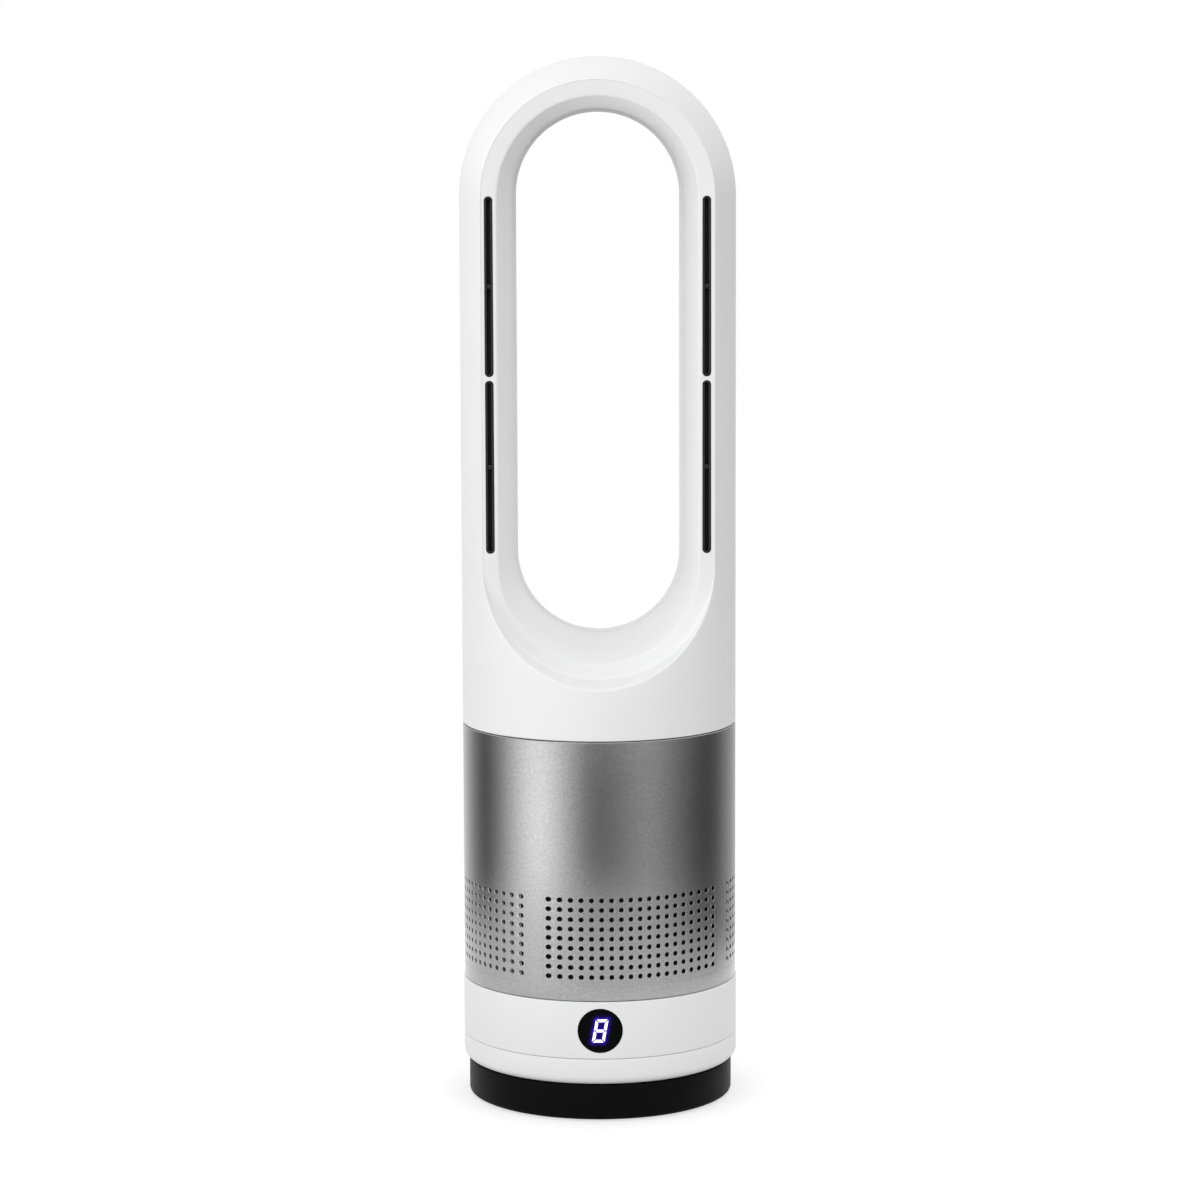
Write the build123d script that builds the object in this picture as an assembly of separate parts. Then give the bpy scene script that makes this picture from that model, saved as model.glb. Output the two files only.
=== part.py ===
from build123d import *
from math import acos, cos, pi, radians, sin, tan
import os

# Bladeless tower fan: a black foot, a turning white tower with a perforated
# intake sleeve and a hollow loop that blows air from four slots in its front.
# Millimetres. Origin on the floor in the middle of the foot, +Z up, front at -Y.

# ---- outside sizes ---------------------------------------------------------
TOWER_R = 80.0          # sleeve and loop
RING_R = 80.5           # white ring at the bottom, a little proud of the sleeve
BASE_R = 77.5           # black foot
ARCH_Z = 528.4          # centre of the domed top, so the fan is 608.4 tall
WALL = 2.5              # moulded shells
SEAM = 0.4              # shadow gap between two casings

FOOT_RISE = 1.0         # foot shell above the floor, on its rubber feet
BASE_TOP = 21.8
TABLE_Z = 22.2          # underside of the turntable
RING_SPLIT = 37.65      # seam round the white ring
RING_TOP = 71.0
SLEEVE_TOP = 221.6
LOOP_Z = 222.0          # bottom edge of the loop

# ---- loop ------------------------------------------------------------------
FACE_Y = 44.0           # flat front and rear faces of the loop
LOW_Z = 318.3           # lower centre of the stadium outlines
POCKET_R = 66.5         # outer edge of the flat faces
BORE_FRONT_R = 57.0     # opening at the front face
BORE_REAR_R = 50.0      # opening just before the rear lip
LIP_R = 48.0            # rear lip
LIP_Y = 42.0
SLOT_X = 62.0
SLOT_W = 5.1
SLOT_SPANS = {"lower": (325.4, 424.8), "upper": (426.8, 529.4)}
NOZZLE_GAP = 2.3        # free width of each air slot
NOZZLE_DEPTH = 11.0
BRIDGE = 2.5            # bar half way up each nozzle
SHELL_SCREW_X = 60.0
SHELL_SCREW_Z = (300.0, 426.0, 546.0)

# ---- intake sleeve ---------------------------------------------------------
SLEEVE_WALL = 2.4
HOLE_R = 1.38
HOLE_COLUMNS = 19
HOLE_ROWS = 9
HOLE_PITCH_X = 5.52
HOLE_PITCH_Z = 5.59
HOLE_BOTTOM_Z = 85.3
PATCH_TURN = 16.9       # the four hole patches are turned this far round
PANEL_HALF_W = 52.2
PANEL_Z = (80.0, 132.7)
PANEL_DEPTH = 0.25

# ---- display ---------------------------------------------------------------
LENS_Z = 54.3
LENS_R = 12.9
DIGIT_H = 14.6
DIGIT_W = 8.3
DIGIT_STROKE = 2.2
DIGIT_SLANT = 10.3

# ---- turning drive ---------------------------------------------------------
GEAR_MODULE = 1.0
SUN_TEETH = 60
PINION_TEETH = 15
GEAR_Z = (25.2, 30.2)
PINION_Y = GEAR_MODULE * (SUN_TEETH + PINION_TEETH) / 2
BACKLASH = 0.16
HUB_R = 18.0            # pivot hub of the foot
HUB_BORE = 9.0
HUB_STEP_R = 11.5
GEAR_SCREWS = (14.8, (30, 150, 270))    # radius and angles of the ring gear's screws

# ---- blower ----------------------------------------------------------------
PLATE_Z = 148.0         # underside of the bellmouth plate
THROAT_R = 52.0
TIP_GAP = 1.0           # between the blades and the shroud
IMPELLER_Z = (156.0, 184.0)
SHROUD_TOP_R = 60.0
DIFFUSER_Z = 186.0
DIFFUSER_TOP = 221.0
SHAFT_R = 2.48
BEARING_BORE = 2.5
BEARING_R = 6.5
BEARING_W = 4.0
BLADES = 9
VANES = 11


# ---- helpers ---------------------------------------------------------------
def disc(r, z_low, z_high, x=0.0, y=0.0):
    """Upright cylinder between two heights."""
    return Pos(x, y, (z_low + z_high) / 2) * Cylinder(r, z_high - z_low)


def tube(outer_r, inner_r, z_low, z_high, x=0.0, y=0.0):
    """Upright ring between two heights."""
    return disc(outer_r, z_low, z_high, x, y) - disc(inner_r, z_low - 1, z_high + 1, x, y)


def block(x, y, z):
    """Box from three (low, high) pairs."""
    size = [high - low for low, high in (x, y, z)]
    middle = [(high + low) / 2 for low, high in (x, y, z)]
    return Pos(*middle) * Box(*size)


def rod(r, y_low, y_high, x, z):
    """Cylinder lying along Y."""
    return Pos(x, (y_low + y_high) / 2, z) * Rot(90, 0, 0) * Cylinder(r, y_high - y_low)


def turned(profile):
    """Solid of revolution about the tower axis from (radius, height) corners."""
    return revolve(Plane.XZ * make_face(Polyline(*profile, close=True)), Axis.Z)


def ring_places(radius, angles):
    """Places at a radius round the axis, each turned to face outwards."""
    return [Rot(0, 0, angle) * Pos(radius, 0, 0) for angle in angles]


def joined(pieces):
    """Several solids fused into one."""
    body = pieces[0]
    for piece in pieces[1:]:
        body = body + piece
    return body


def screw(head_r, head_h, shank_r, length):
    """Pan-head screw with a cross recess; the shank runs up +Z from z = 0."""
    head = Pos(0, 0, -head_h / 2) * Cylinder(head_r, head_h)
    head = fillet(head.edges().group_by(Axis.Z)[0], head_h * 0.45)
    shank = Pos(0, 0, length / 2) * Cylinder(shank_r, length)
    slot = Box(head_r * 1.1, 0.6, 1.2) + Box(0.6, head_r * 1.1, 1.2)
    return head + shank - Pos(0, 0, -head_h) * slot


def screws_up(places, z, head_r=2.8, head_h=1.5, shank_r=1.45, length=12.0):
    """Group of screws driven upwards, head below z."""
    one = screw(head_r, head_h, shank_r, length)
    return [place * Pos(0, 0, z) * one for place in places]


def screws_down(places, z, head_r=2.8, head_h=1.5, shank_r=1.45, length=12.0):
    """Group of screws driven downwards, head above z."""
    one = Rot(180, 0, 0) * screw(head_r, head_h, shank_r, length)
    return [place * Pos(0, 0, z) * one for place in places]


NODES = {}


def node(name, shape):
    """Keeps one sub-part; a list of solids is kept as one group."""
    solids = shape.solids() if not isinstance(shape, list) else [s for one in shape for s in one.solids()]
    body = solids[0] if len(solids) == 1 else Compound(children=list(solids))
    body.label = name
    NODES[name] = body


# ---- foot (stands still) ---------------------------------------------------
PLATE_LOW, PLATE_HIGH = 2.0, 3.2
DECK_Z = BASE_TOP - 3.0
CORNERS = (45, 135, 225, 315)
SIDES = (0, 90, 180, 270)
BASE_BOSS_R = 66.0
FOOT_PAD_R = 62.0       # circle that the rubber feet stand on
GLIDE_OUTER, GLIDE_INNER = 66.0, 60.0
JACK_Z = 11.5
JACK_FACE_Y = 75.6


def base_shell():
    shell = disc(BASE_R, FOOT_RISE, BASE_TOP)
    shell = fillet(shell.edges().group_by(Axis.Z)[0], 2.0)
    shell = fillet(shell.edges().group_by(Axis.Z)[-1], 0.6)
    shell -= disc(BASE_R - WALL, FOOT_RISE - 1, DECK_Z)
    for place in ring_places(BASE_BOSS_R, CORNERS):
        shell += place * disc(4.0, PLATE_HIGH, DECK_Z + 0.5)
        shell -= place * disc(1.5, 0, PLATE_HIGH + 11)
    for place in ring_places(0, (20, 70, 110, 160, 200, 250, 290, 340)):
        shell += place * block((HUB_R - 1, BASE_R - 1), (-0.8, 0.8), (DECK_Z - 3, DECK_Z + 0.5))
    shell += disc(HUB_R, DECK_Z, GEAR_Z[0])
    shell += disc(HUB_STEP_R, GEAR_Z[0] - 1, GEAR_Z[1])
    shell -= disc(HUB_BORE, 0, GEAR_Z[1] + 1)
    for place in ring_places(*GEAR_SCREWS):
        shell -= place * disc(1.3, GEAR_Z[0] - 7, GEAR_Z[0] + 1)
    shell -= tube(GLIDE_OUTER + 0.1, GLIDE_INNER - 0.1, BASE_TOP - 1.0, BASE_TOP + 1)
    shell -= block((-5.6, 5.6), (73.0, JACK_FACE_Y + 0.1), (JACK_Z - 6.1, JACK_Z + 6.1))
    return shell - rod(4.9, 70, 80, 0, JACK_Z)


def base_plate():
    plate = disc(BASE_R - WALL - 0.3, PLATE_LOW, PLATE_HIGH)
    for place in ring_places(BASE_BOSS_R, CORNERS):
        plate -= place * disc(1.6, 0, 5)
    return plate


def rubber_feet():
    foot = disc(8.0, 0, PLATE_LOW)
    foot = fillet(foot.edges().group_by(Axis.Z)[0], 0.6)
    return [place * foot for place in ring_places(FOOT_PAD_R, SIDES)]


def ballast_plate():
    plate = tube(60.0, 22.0, PLATE_HIGH + 0.1, PLATE_HIGH + 9.1)
    return chamfer(plate.edges().filter_by(GeomType.CIRCLE).group_by(Axis.Z)[-1], 0.8)


def dc_jack():
    body = block((-5.5, 5.5), (63.5, JACK_FACE_Y), (JACK_Z - 6, JACK_Z + 6))
    body += rod(4.8, JACK_FACE_Y - 1, JACK_FACE_Y + 1.2, 0, JACK_Z)
    body = chamfer(body.edges().group_by(Axis.Y)[-1], 0.4)
    return body - rod(2.8, 66.0, 80, 0, JACK_Z)


def dc_jack_pin():
    pin = rod(1.0, 66.0, 75.4, 0, JACK_Z)
    return fillet(pin.edges().group_by(Axis.Y)[-1], 0.4)


LEAD_R = 1.5
LEAD_BEND = 15.0
LEAD_Z = 15.0


def lead(points):
    """Round cable along straight runs joined by arcs."""
    path = FilletPolyline(*points, radius=LEAD_BEND)
    start = Plane(origin=path @ 0, z_dir=path % 0)
    return sweep(start * Circle(LEAD_R), path=path)


def base_lead():
    return lead([(0, 63.4, LEAD_Z), (0, 0, LEAD_Z), (0, 0, GEAR_Z[1] + 1.5)])


# ---- turning gears ---------------------------------------------------------
def gear(teeth, z_low, z_high, bore):
    """Spur gear; each flank is an arc through three points of its involute."""
    pitch_r = GEAR_MODULE * teeth / 2
    base_r = pitch_r * cos(radians(20))
    tip_r = pitch_r + 0.92 * GEAR_MODULE
    root_r = pitch_r - 1.25 * GEAR_MODULE
    start_r = max(base_r, root_r + 0.15)
    half_pitch = (pi * GEAR_MODULE / 2 - BACKLASH) / (2 * pitch_r)

    def flank_angle(r):
        pressure = acos(min(1.0, base_r / r))
        return half_pitch + (tan(radians(20)) - radians(20)) - (tan(pressure) - pressure)

    def at(r, angle):
        return (r * cos(angle), r * sin(angle))

    radii = (start_r, (start_r + tip_r) / 2, tip_r)
    edges = []
    step = 2 * pi / teeth
    for number in range(teeth):
        middle = number * step
        rise = [at(r, middle - flank_angle(r)) for r in radii]
        fall = [at(r, middle + flank_angle(r)) for r in reversed(radii)]
        foot_low = at(root_r, middle - flank_angle(start_r))
        foot_high = at(root_r, middle + flank_angle(start_r))
        next_foot = at(root_r, middle + step - flank_angle(start_r))
        edges += [Line(foot_low, rise[0]), ThreePointArc(*rise)]
        edges += [ThreePointArc(rise[2], at(tip_r, middle), fall[0]), ThreePointArc(*fall)]
        edges += [Line(fall[2], foot_high)]
        edges += [ThreePointArc(foot_high, at(root_r, middle + step / 2), next_foot)]
    outline = make_face(Wire(edges))
    return Pos(0, 0, z_low) * extrude(outline, z_high - z_low) - disc(bore, z_low - 1, z_high + 1)


def swing_gear():
    wheel = gear(SUN_TEETH, *GEAR_Z, HUB_STEP_R + 0.05)
    for place in ring_places(*GEAR_SCREWS):
        wheel -= place * disc(1.5, GEAR_Z[0] - 1, GEAR_Z[1] + 1)
    for place in ring_places(23.0, range(0, 360, 60)):
        wheel -= place * disc(3.6, GEAR_Z[0] - 1, GEAR_Z[1] + 1)
    return wheel


def swing_pinion():
    facing_gap = Rot(0, 0, 90)
    return Pos(0, PINION_Y, 0) * facing_gap * gear(PINION_TEETH, GEAR_Z[0], GEAR_Z[1] + 0.4, 2.5)


def pinion_shaft():
    shaft = disc(2.48, GEAR_Z[0] + 0.2, 39.5, 0, PINION_Y)
    return chamfer(shaft.edges().group_by(Axis.Z)[-1], 0.4)


# ---- white ring: turntable below, control ring above ------------------------
RING_BOSS_R = 72.0
RING_INNER = RING_R - WALL
TABLE_FLOOR = TABLE_Z + WALL
MOTOR_SEAT_Z = 33.2
MOTOR_EAR_X = 17.5
SHELF_Z = 66.0          # chassis flange rests here


def turntable():
    cup = disc(RING_R, TABLE_Z, RING_SPLIT - SEAM / 2)
    cup = fillet(cup.edges().group_by(Axis.Z)[0], 5.0)
    cup -= disc(RING_INNER, TABLE_FLOOR, RING_SPLIT + 1)
    cup -= disc(21.0, TABLE_Z - 1, TABLE_FLOOR + 1)
    for place in ring_places(RING_BOSS_R, CORNERS):
        cup -= place * disc(3.0, TABLE_Z - 1, TABLE_Z + 1.2)
        cup -= place * disc(1.6, TABLE_Z, TABLE_FLOOR + 1)
    for side in (-1, 1):
        x = side * MOTOR_EAR_X
        cup += disc(4.0, TABLE_FLOOR - 0.5, MOTOR_SEAT_Z, x, PINION_Y)
        cup -= disc(1.5, TABLE_FLOOR + 0.5, MOTOR_SEAT_Z + 1, x, PINION_Y)
    return cup


def pivot_bush():
    return tube(20.95, HUB_R + 0.06, TABLE_Z + 0.1, TABLE_FLOOR + 0.1) + tube(24.0, HUB_R + 0.06, TABLE_FLOOR, 25.0)


def control_ring():
    low = RING_SPLIT + SEAM / 2
    ring = tube(RING_R, RING_INNER, low, RING_TOP)
    ring = fillet(ring.edges().filter_by(GeomType.CIRCLE).group_by(Axis.Z)[-1].sort_by(SortBy.RADIUS)[-1], 0.5)
    ring += tube(RING_INNER + 0.2, RING_INNER - WALL, low, low + 2.5)
    ring += tube(RING_INNER - 0.15, RING_INNER - WALL, low - 4, low + 2.5)
    for place in ring_places(RING_BOSS_R, CORNERS):
        ring += place * disc(4.0, TABLE_FLOOR, SHELF_Z)
        ring += place * block((0, RING_INNER - RING_BOSS_R + 0.5), (-1.2, 1.2), (low, SHELF_Z))
        ring -= place * disc(1.5, TABLE_FLOOR - 1, TABLE_FLOOR + 14)
        ring -= place * disc(1.5, SHELF_Z - 12, SHELF_Z + 1)
    ring += rod(LENS_R + 1.6, -78.5, -72.4, 0, LENS_Z)
    return ring - rod(LENS_R + 0.12, -90, -70, 0, LENS_Z)


def digit_segments(grow):
    """The seven bars of a slanted figure eight, as rods through the lens."""
    half_w = (DIGIT_W - DIGIT_STROKE) / 2
    half_h = (DIGIT_H - DIGIT_STROKE) / 4
    lean = tan(radians(DIGIT_SLANT))
    bars = [((-half_w, level), (half_w, level)) for level in (-2 * half_h, 0, 2 * half_h)]
    for x in (-half_w, half_w):
        bars += [((x, -2 * half_h), (x, 0)), ((x, 0), (x, 2 * half_h))]
    pieces = []
    for (x0, z0), (x1, z1) in bars:
        length = abs(x1 - x0) + abs(z1 - z0) - 0.5
        half = DIGIT_STROKE / 2 + grow
        across = [(-length / 2 - grow, 0), (-length / 2 + half, half), (length / 2 - half, half)]
        across += [(length / 2 + grow, 0), (length / 2 - half, -half), (-length / 2 + half, -half)]
        middle_x, middle_z = (x0 + x1) / 2, (z0 + z1) / 2
        if z0 != z1:
            across = [(b, a) for a, b in across]
        leaned = [(middle_x + a + (middle_z + b) * lean, middle_z + b) for a, b in across]
        bar = extrude(Plane.XZ * make_face(Polyline(*leaned, close=True)), 90)
        pieces.append(Pos(0, 0, LENS_Z) * bar)
    return pieces


LENS_SKIN_R = RING_R - 0.15


def lens_shell(back_r):
    return tube(LENS_SKIN_R, back_r, LENS_Z - 20, LENS_Z + 20)


def display_lens():
    lens = rod(LENS_R, -90, -60, 0, LENS_Z) & lens_shell(RING_INNER)
    return lens - digit_segments(0.03)


def display_digit():
    return [segment & lens_shell(RING_INNER + 0.6) for segment in digit_segments(0.0)]


def led_module():
    module = block((-6.5, 6.5), (-77.0, -72.5), (LENS_Z - 9.5, LENS_Z + 9.5))
    return module - block((-4.8, 4.8), (-78.0, -75.5), (LENS_Z - 7.6, LENS_Z + 7.6))


def display_board():
    board = block((-15, 15), (-72.4, -70.8), (LENS_Z - 11, LENS_Z + 11))
    return board - rod(1.1, -75, -70, -13, LENS_Z - 9) - rod(1.1, -75, -70, 13, LENS_Z + 9)


def ir_receiver():
    return block((7.6, 10.4), (-75.6, -72.4), (LENS_Z - 4, LENS_Z + 1)) + rod(1.3, -76.4, -75, 9.0, LENS_Z - 1)


# ---- swing motor -----------------------------------------------------------
def swing_motor():
    body = disc(14.0, MOTOR_SEAT_Z, MOTOR_SEAT_Z + 19, 0, PINION_Y)
    body = fillet(body.edges().group_by(Axis.Z)[-1], 1.0)
    ear_x = MOTOR_EAR_X + 3.5
    body += block((-ear_x, ear_x), (PINION_Y - 3.5, PINION_Y + 3.5), (MOTOR_SEAT_Z, MOTOR_SEAT_Z + 1))
    body += disc(4.5, MOTOR_SEAT_Z - 1.4, MOTOR_SEAT_Z + 1, 0, PINION_Y)
    body += block((-7.5, 7.5), (PINION_Y + 12, PINION_Y + 17), (MOTOR_SEAT_Z + 2, MOTOR_SEAT_Z + 17))
    for side in (-1, 1):
        body -= disc(1.6, MOTOR_SEAT_Z - 1, MOTOR_SEAT_Z + 2, side * MOTOR_EAR_X, PINION_Y)
    return body - disc(2.55, MOTOR_SEAT_Z - 2, 40.0, 0, PINION_Y)


def swing_motor_screws():
    places = [Pos(side * MOTOR_EAR_X, PINION_Y, 0) for side in (-1, 1)]
    return screws_down(places, MOTOR_SEAT_Z + 1, length=7.0)


# ---- electronics -----------------------------------------------------------
BOARD_Z = (60.0, 61.6)
BOARD_SCREWS = (42.0, (20, 160, 215, 325))


def control_board():
    board = disc(50.0, *BOARD_Z) - block((-60, 60), (40, 60), (50, 70))
    for place in ring_places(*BOARD_SCREWS):
        board -= place * disc(1.6, 50, 70)
    return board


def board_parts():
    z = BOARD_Z[0]
    capacitors = [disc(4.0, z - 9, z, x, -18) for x in (-22, -12)]
    choke = disc(6.0, z - 6, z, 18, -18) - disc(3.0, z - 7, z - 1, 18, -18)
    chips = [block((-6, 4), (8, 18), (z - 1.2, z)), block((14, 22), (2, 7), (z - 1.5, z))]
    sockets = [block((-38, -31), (-8, 8), (z - 6, z)), block((-10, 10), (-44, -38), (z - 5, z))]
    sockets += [block((-6, 6), (26, 32), (z - 5, z))]
    return capacitors + [choke] + chips + sockets


def control_board_screws():
    places = ring_places(*BOARD_SCREWS)
    return screws_up(places, BOARD_Z[0], length=5.0)


def board_lead():
    start = GEAR_Z[1] + 2.0
    level = BOARD_Z[0] - 3.0
    return lead([(0, 0, start), (0, 0, level), (0, 25.9, level)])


# ---- chassis and intake ----------------------------------------------------
FLANGE_Z = (66.0, 69.0)
PILLAR_R = 70.0
PILLAR_ANGLES = (20, 110, 200, 290)


def chassis_frame():
    frame = disc(76.5, *FLANGE_Z) - disc(6.0, 60, 75, 30, 12)
    for place in ring_places(RING_BOSS_R, CORNERS):
        frame -= place * disc(1.6, 60, 75)
    for place in ring_places(PILLAR_R, PILLAR_ANGLES):
        frame += place * disc(4.0, FLANGE_Z[0], PLATE_Z)
        frame -= place * disc(1.5, PLATE_Z - 12, PLATE_Z + 1)
        frame += place * block((-24, -3), (-1, 1), (FLANGE_Z[0], FLANGE_Z[1] + 6))
    frame -= block((-15, 15), (-77, -72), (FLANGE_Z[0] - 1, FLANGE_Z[1] + 1))
    for place in ring_places(*BOARD_SCREWS):
        frame += place * disc(3.5, BOARD_Z[1], FLANGE_Z[0] + 1)
        frame -= place * disc(1.5, BOARD_Z[1] - 1, BOARD_Z[1] + 5)
    return frame


def intake_sleeve():
    low = RING_TOP + SEAM
    inner = TOWER_R - SLEEVE_WALL
    sleeve = tube(TOWER_R, inner, low, SLEEVE_TOP)
    rims = sleeve.edges().filter_by(GeomType.CIRCLE).group_by(SortBy.RADIUS)[-1]
    sleeve = chamfer(rims, 0.4)
    panel_skin = tube(TOWER_R + 1, TOWER_R - PANEL_DEPTH, *PANEL_Z)
    panel_skin &= block((-PANEL_HALF_W, PANEL_HALF_W), (-90, -40), PANEL_Z)
    holes = []
    for column in range(HOLE_COLUMNS):
        x = (column - (HOLE_COLUMNS - 1) / 2) * HOLE_PITCH_X
        for row in range(HOLE_ROWS):
            holes.append(rod(HOLE_R, -85, -52, x, HOLE_BOTTOM_Z + row * HOLE_PITCH_Z))
    for quarter in SIDES:
        turn = Rot(0, 0, PATCH_TURN + quarter)
        sleeve -= turn * panel_skin
        sleeve -= [turn * hole for hole in holes]
    return sleeve


def intake_filter():
    return tube(TOWER_R - SLEEVE_WALL - 0.4, TOWER_R - SLEEVE_WALL - 2.6, FLANGE_Z[1] + 0.2, PLATE_Z - 0.2)


# ---- blower ----------------------------------------------------------------
HUB_LOW_R, HUB_HIGH_R = 14.0, 43.0
LOOP_BOSS_R = 71.0
CAN_R = 26.0
STATOR_Z = (194.5, 208.5)
CAP_Z = (212.0, 213.6)
CAP_SCREWS = (21.0, (30, 150, 270))     # radius and angles of the motor cap's screws


def inlet_bellmouth():
    lip_r = THROAT_R + 10
    outline = Curve() + [
        Line((76.5, PLATE_Z), (lip_r, PLATE_Z)),
        RadiusArc((lip_r, PLATE_Z), (THROAT_R, PLATE_Z + 10), 10),
        Line((THROAT_R, PLATE_Z + 10), (SHROUD_TOP_R, IMPELLER_Z[1])),
        Line((SHROUD_TOP_R, IMPELLER_Z[1]), (SHROUD_TOP_R + 2, IMPELLER_Z[1])),
        Line((SHROUD_TOP_R + 2, IMPELLER_Z[1]), (THROAT_R + 2, PLATE_Z + 10)),
        RadiusArc((THROAT_R + 2, PLATE_Z + 10), (lip_r, PLATE_Z + 2), -8),
        Line((lip_r, PLATE_Z + 2), (76.5, PLATE_Z + 2)),
        Line((76.5, PLATE_Z + 2), (76.5, PLATE_Z)),
    ]
    mouth = revolve(Plane.XZ * make_face(outline), Axis.Z)
    for place in ring_places(PILLAR_R, PILLAR_ANGLES):
        mouth -= place * disc(1.6, PLATE_Z - 1, PLATE_Z + 4)
    return mouth


def diffuser_housing():
    foot_z = PLATE_Z + 2
    wall = turned([(64, foot_z), (76, foot_z), (76, foot_z + 2), (66, foot_z + 2), (66, 190), (67.5, 218),
                   (76.8, 218), (76.8, DIFFUSER_TOP), (65.5, DIFFUSER_TOP), (62, DIFFUSER_Z + 2),
                   (SHROUD_TOP_R, DIFFUSER_Z), (SHROUD_TOP_R, 184.2), (64, 184.2)])
    hub = turned([(3.6, DIFFUSER_Z), (HUB_HIGH_R + 0.5, DIFFUSER_Z), (30.5, 217.5), (28.5, 217.5),
                  (40.0, 188.6), (9.5, 188.6), (9.5, 193.0), (BEARING_R + 0.03, 193.0),
                  (BEARING_R + 0.03, 188.6), (3.6, 188.6)])
    vane = block((29, 66), (-0.9, 0.9), (DIFFUSER_Z, 217.5))
    passage = turned([(HUB_HIGH_R, DIFFUSER_Z + 0.5), (61, DIFFUSER_Z + 0.5), (65.4, 217), (30, 217)])
    vanes = [Rot(0, 0, 360 / VANES * number) * (vane & passage) for number in range(VANES)]
    housing = joined([wall, hub] + vanes)
    for place in ring_places(PILLAR_R, PILLAR_ANGLES):
        housing -= place * disc(1.6, PLATE_Z, PLATE_Z + 5)
    for place in ring_places(LOOP_BOSS_R, CORNERS):
        housing -= place * disc(1.6, 210, 230)
    return housing


def motor_can():
    return tube(CAN_R, CAN_R - 1.4, 188.7, CAP_Z[0])


def motor_stator():
    ring = tube(CAN_R - 1.45, 20.5, *STATOR_Z)
    for angle in range(0, 360, 60):
        tooth = block((12.0, 21.0), (-1.8, 1.8), STATOR_Z)
        shoe = block((10.6, 12.4), (-4.4, 4.4), STATOR_Z)
        ring += Rot(0, 0, angle) * (tooth + shoe)
    return ring - disc(10.4, 190, 212)


def stator_windings():
    coil = block((12.9, 20.0), (-4.2, 4.2), (STATOR_Z[0] - 1.4, STATOR_Z[1] + 0.9))
    coil -= block((12.0, 21.0), (-1.9, 1.9), (STATOR_Z[0] - 0.1, STATOR_Z[1] + 0.1))
    return [Rot(0, 0, angle) * coil for angle in range(0, 360, 60)]


def motor_board():
    return tube(CAN_R - 1.6, 11.0, 209.8, 211.0)


def bearing(z):
    race = tube(BEARING_R, BEARING_BORE, z, z + BEARING_W)
    return race - tube(5.4, 3.6, z - 1, z + 0.3) - tube(5.4, 3.6, z + BEARING_W - 0.3, z + 5)


def motor_cap():
    seat_r = BEARING_R + 0.03
    cap = tube(CAN_R, seat_r, *CAP_Z) + tube(9.5, seat_r, CAP_Z[0], CAP_Z[1] + 4)
    cap += tube(9.5, 3.6, CAP_Z[1] + 2.9, CAP_Z[1] + 4)
    for place in ring_places(*CAP_SCREWS):
        cap -= place * disc(1.3, 200, 220)
    return cap


def motor_cap_screws():
    return screws_down(ring_places(*CAP_SCREWS), CAP_Z[1], 2.2, 1.2, 1.2, 2.4)


def tail_cone():
    outer = [(30.5, 217.6), (28.0, 226.0), (20.0, 235.0), (0, 240.0)]
    inner = [(0, 238.0), (18.8, 233.4), (26.0, 225.0), (28.4, 217.6)]
    return turned(outer + inner)


def impeller():
    """Mixed-flow wheel: a bell-shaped hub with leaning blades up to the shroud."""
    low, high = IMPELLER_Z
    hub = turned([(2.52, low - 1), (7, low - 1), (HUB_LOW_R, low + 2), (28, low + 12), (HUB_HIGH_R, high),
                  (HUB_HIGH_R - 3, high), (26, low + 14.5), (12, low + 5.5), (7, low + 5.5),
                  (7, high), (2.52, high)])
    blade_arc = RadiusArc((11, -6), (60, 12), -70)
    blade_face = make_face(Curve() + [
        blade_arc,
        Line((60, 12), (59.6, 13.6)),
        RadiusArc((59.6, 13.6), (10.6, -4.4), 70),
        Line((10.6, -4.4), (11, -6)),
    ])
    blade = Pos(0, 0, low) * extrude(blade_face, high - low)
    tip_slope = (SHROUD_TOP_R - THROAT_R) / (high - PLATE_Z - 10)
    tip_low = THROAT_R - TIP_GAP + (low + 3 - PLATE_Z - 10) * tip_slope
    span = turned([(HUB_LOW_R - 2, low + 2), (tip_low, low + 3), (SHROUD_TOP_R - TIP_GAP, high - 0.5),
                   (HUB_HIGH_R - 1, high - 0.5), (27, low + 12.8)])
    blade &= span
    return joined([hub] + [Rot(0, 0, 360 / BLADES * number) * blade for number in range(BLADES)])


def rotor_shaft():
    shaft = disc(SHAFT_R, 149.0, 216.3)
    return chamfer(shaft.edges().group_by(Axis.Z)[0], 0.4)


def rotor_magnet():
    return tube(9.8, 2.5, *STATOR_Z)


def impeller_nut():
    nut = Pos(0, 0, 152.9) * extrude(RegularPolygon(4.4, 6), 2.0)
    return nut - disc(2.5, 150, 156)


# ---- loop ------------------------------------------------------------------
def stadium(r, y):
    """Upright stadium face at a depth y."""
    span = ARCH_Z - LOW_Z
    outline = Pos(0, (ARCH_Z + LOW_Z) / 2) * Rot(0, 0, 90) * SlotCenterToCenter(span, 2 * r)
    return Plane.XZ.offset(-y) * outline


def stadium_prism(r, y_low, y_high):
    return extrude(stadium(r, y_high), y_high - y_low)


def stadium_taper(r_low, y_low, r_high, y_high):
    return loft([stadium(r_low, y_low), stadium(r_high, y_high)], ruled=True)


def capsule(r, z_low):
    return disc(r, z_low, ARCH_Z) + Pos(0, 0, ARCH_Z) * Sphere(r)


def bore(grow):
    """Flared opening through the loop, wider at the front."""
    slope = (BORE_REAR_R - BORE_FRONT_R) / (LIP_Y + FACE_Y)
    y_low = -FACE_Y - 8
    return stadium_taper(BORE_FRONT_R + grow + slope * (y_low + FACE_Y), y_low, BORE_REAR_R + grow, LIP_Y)


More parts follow.
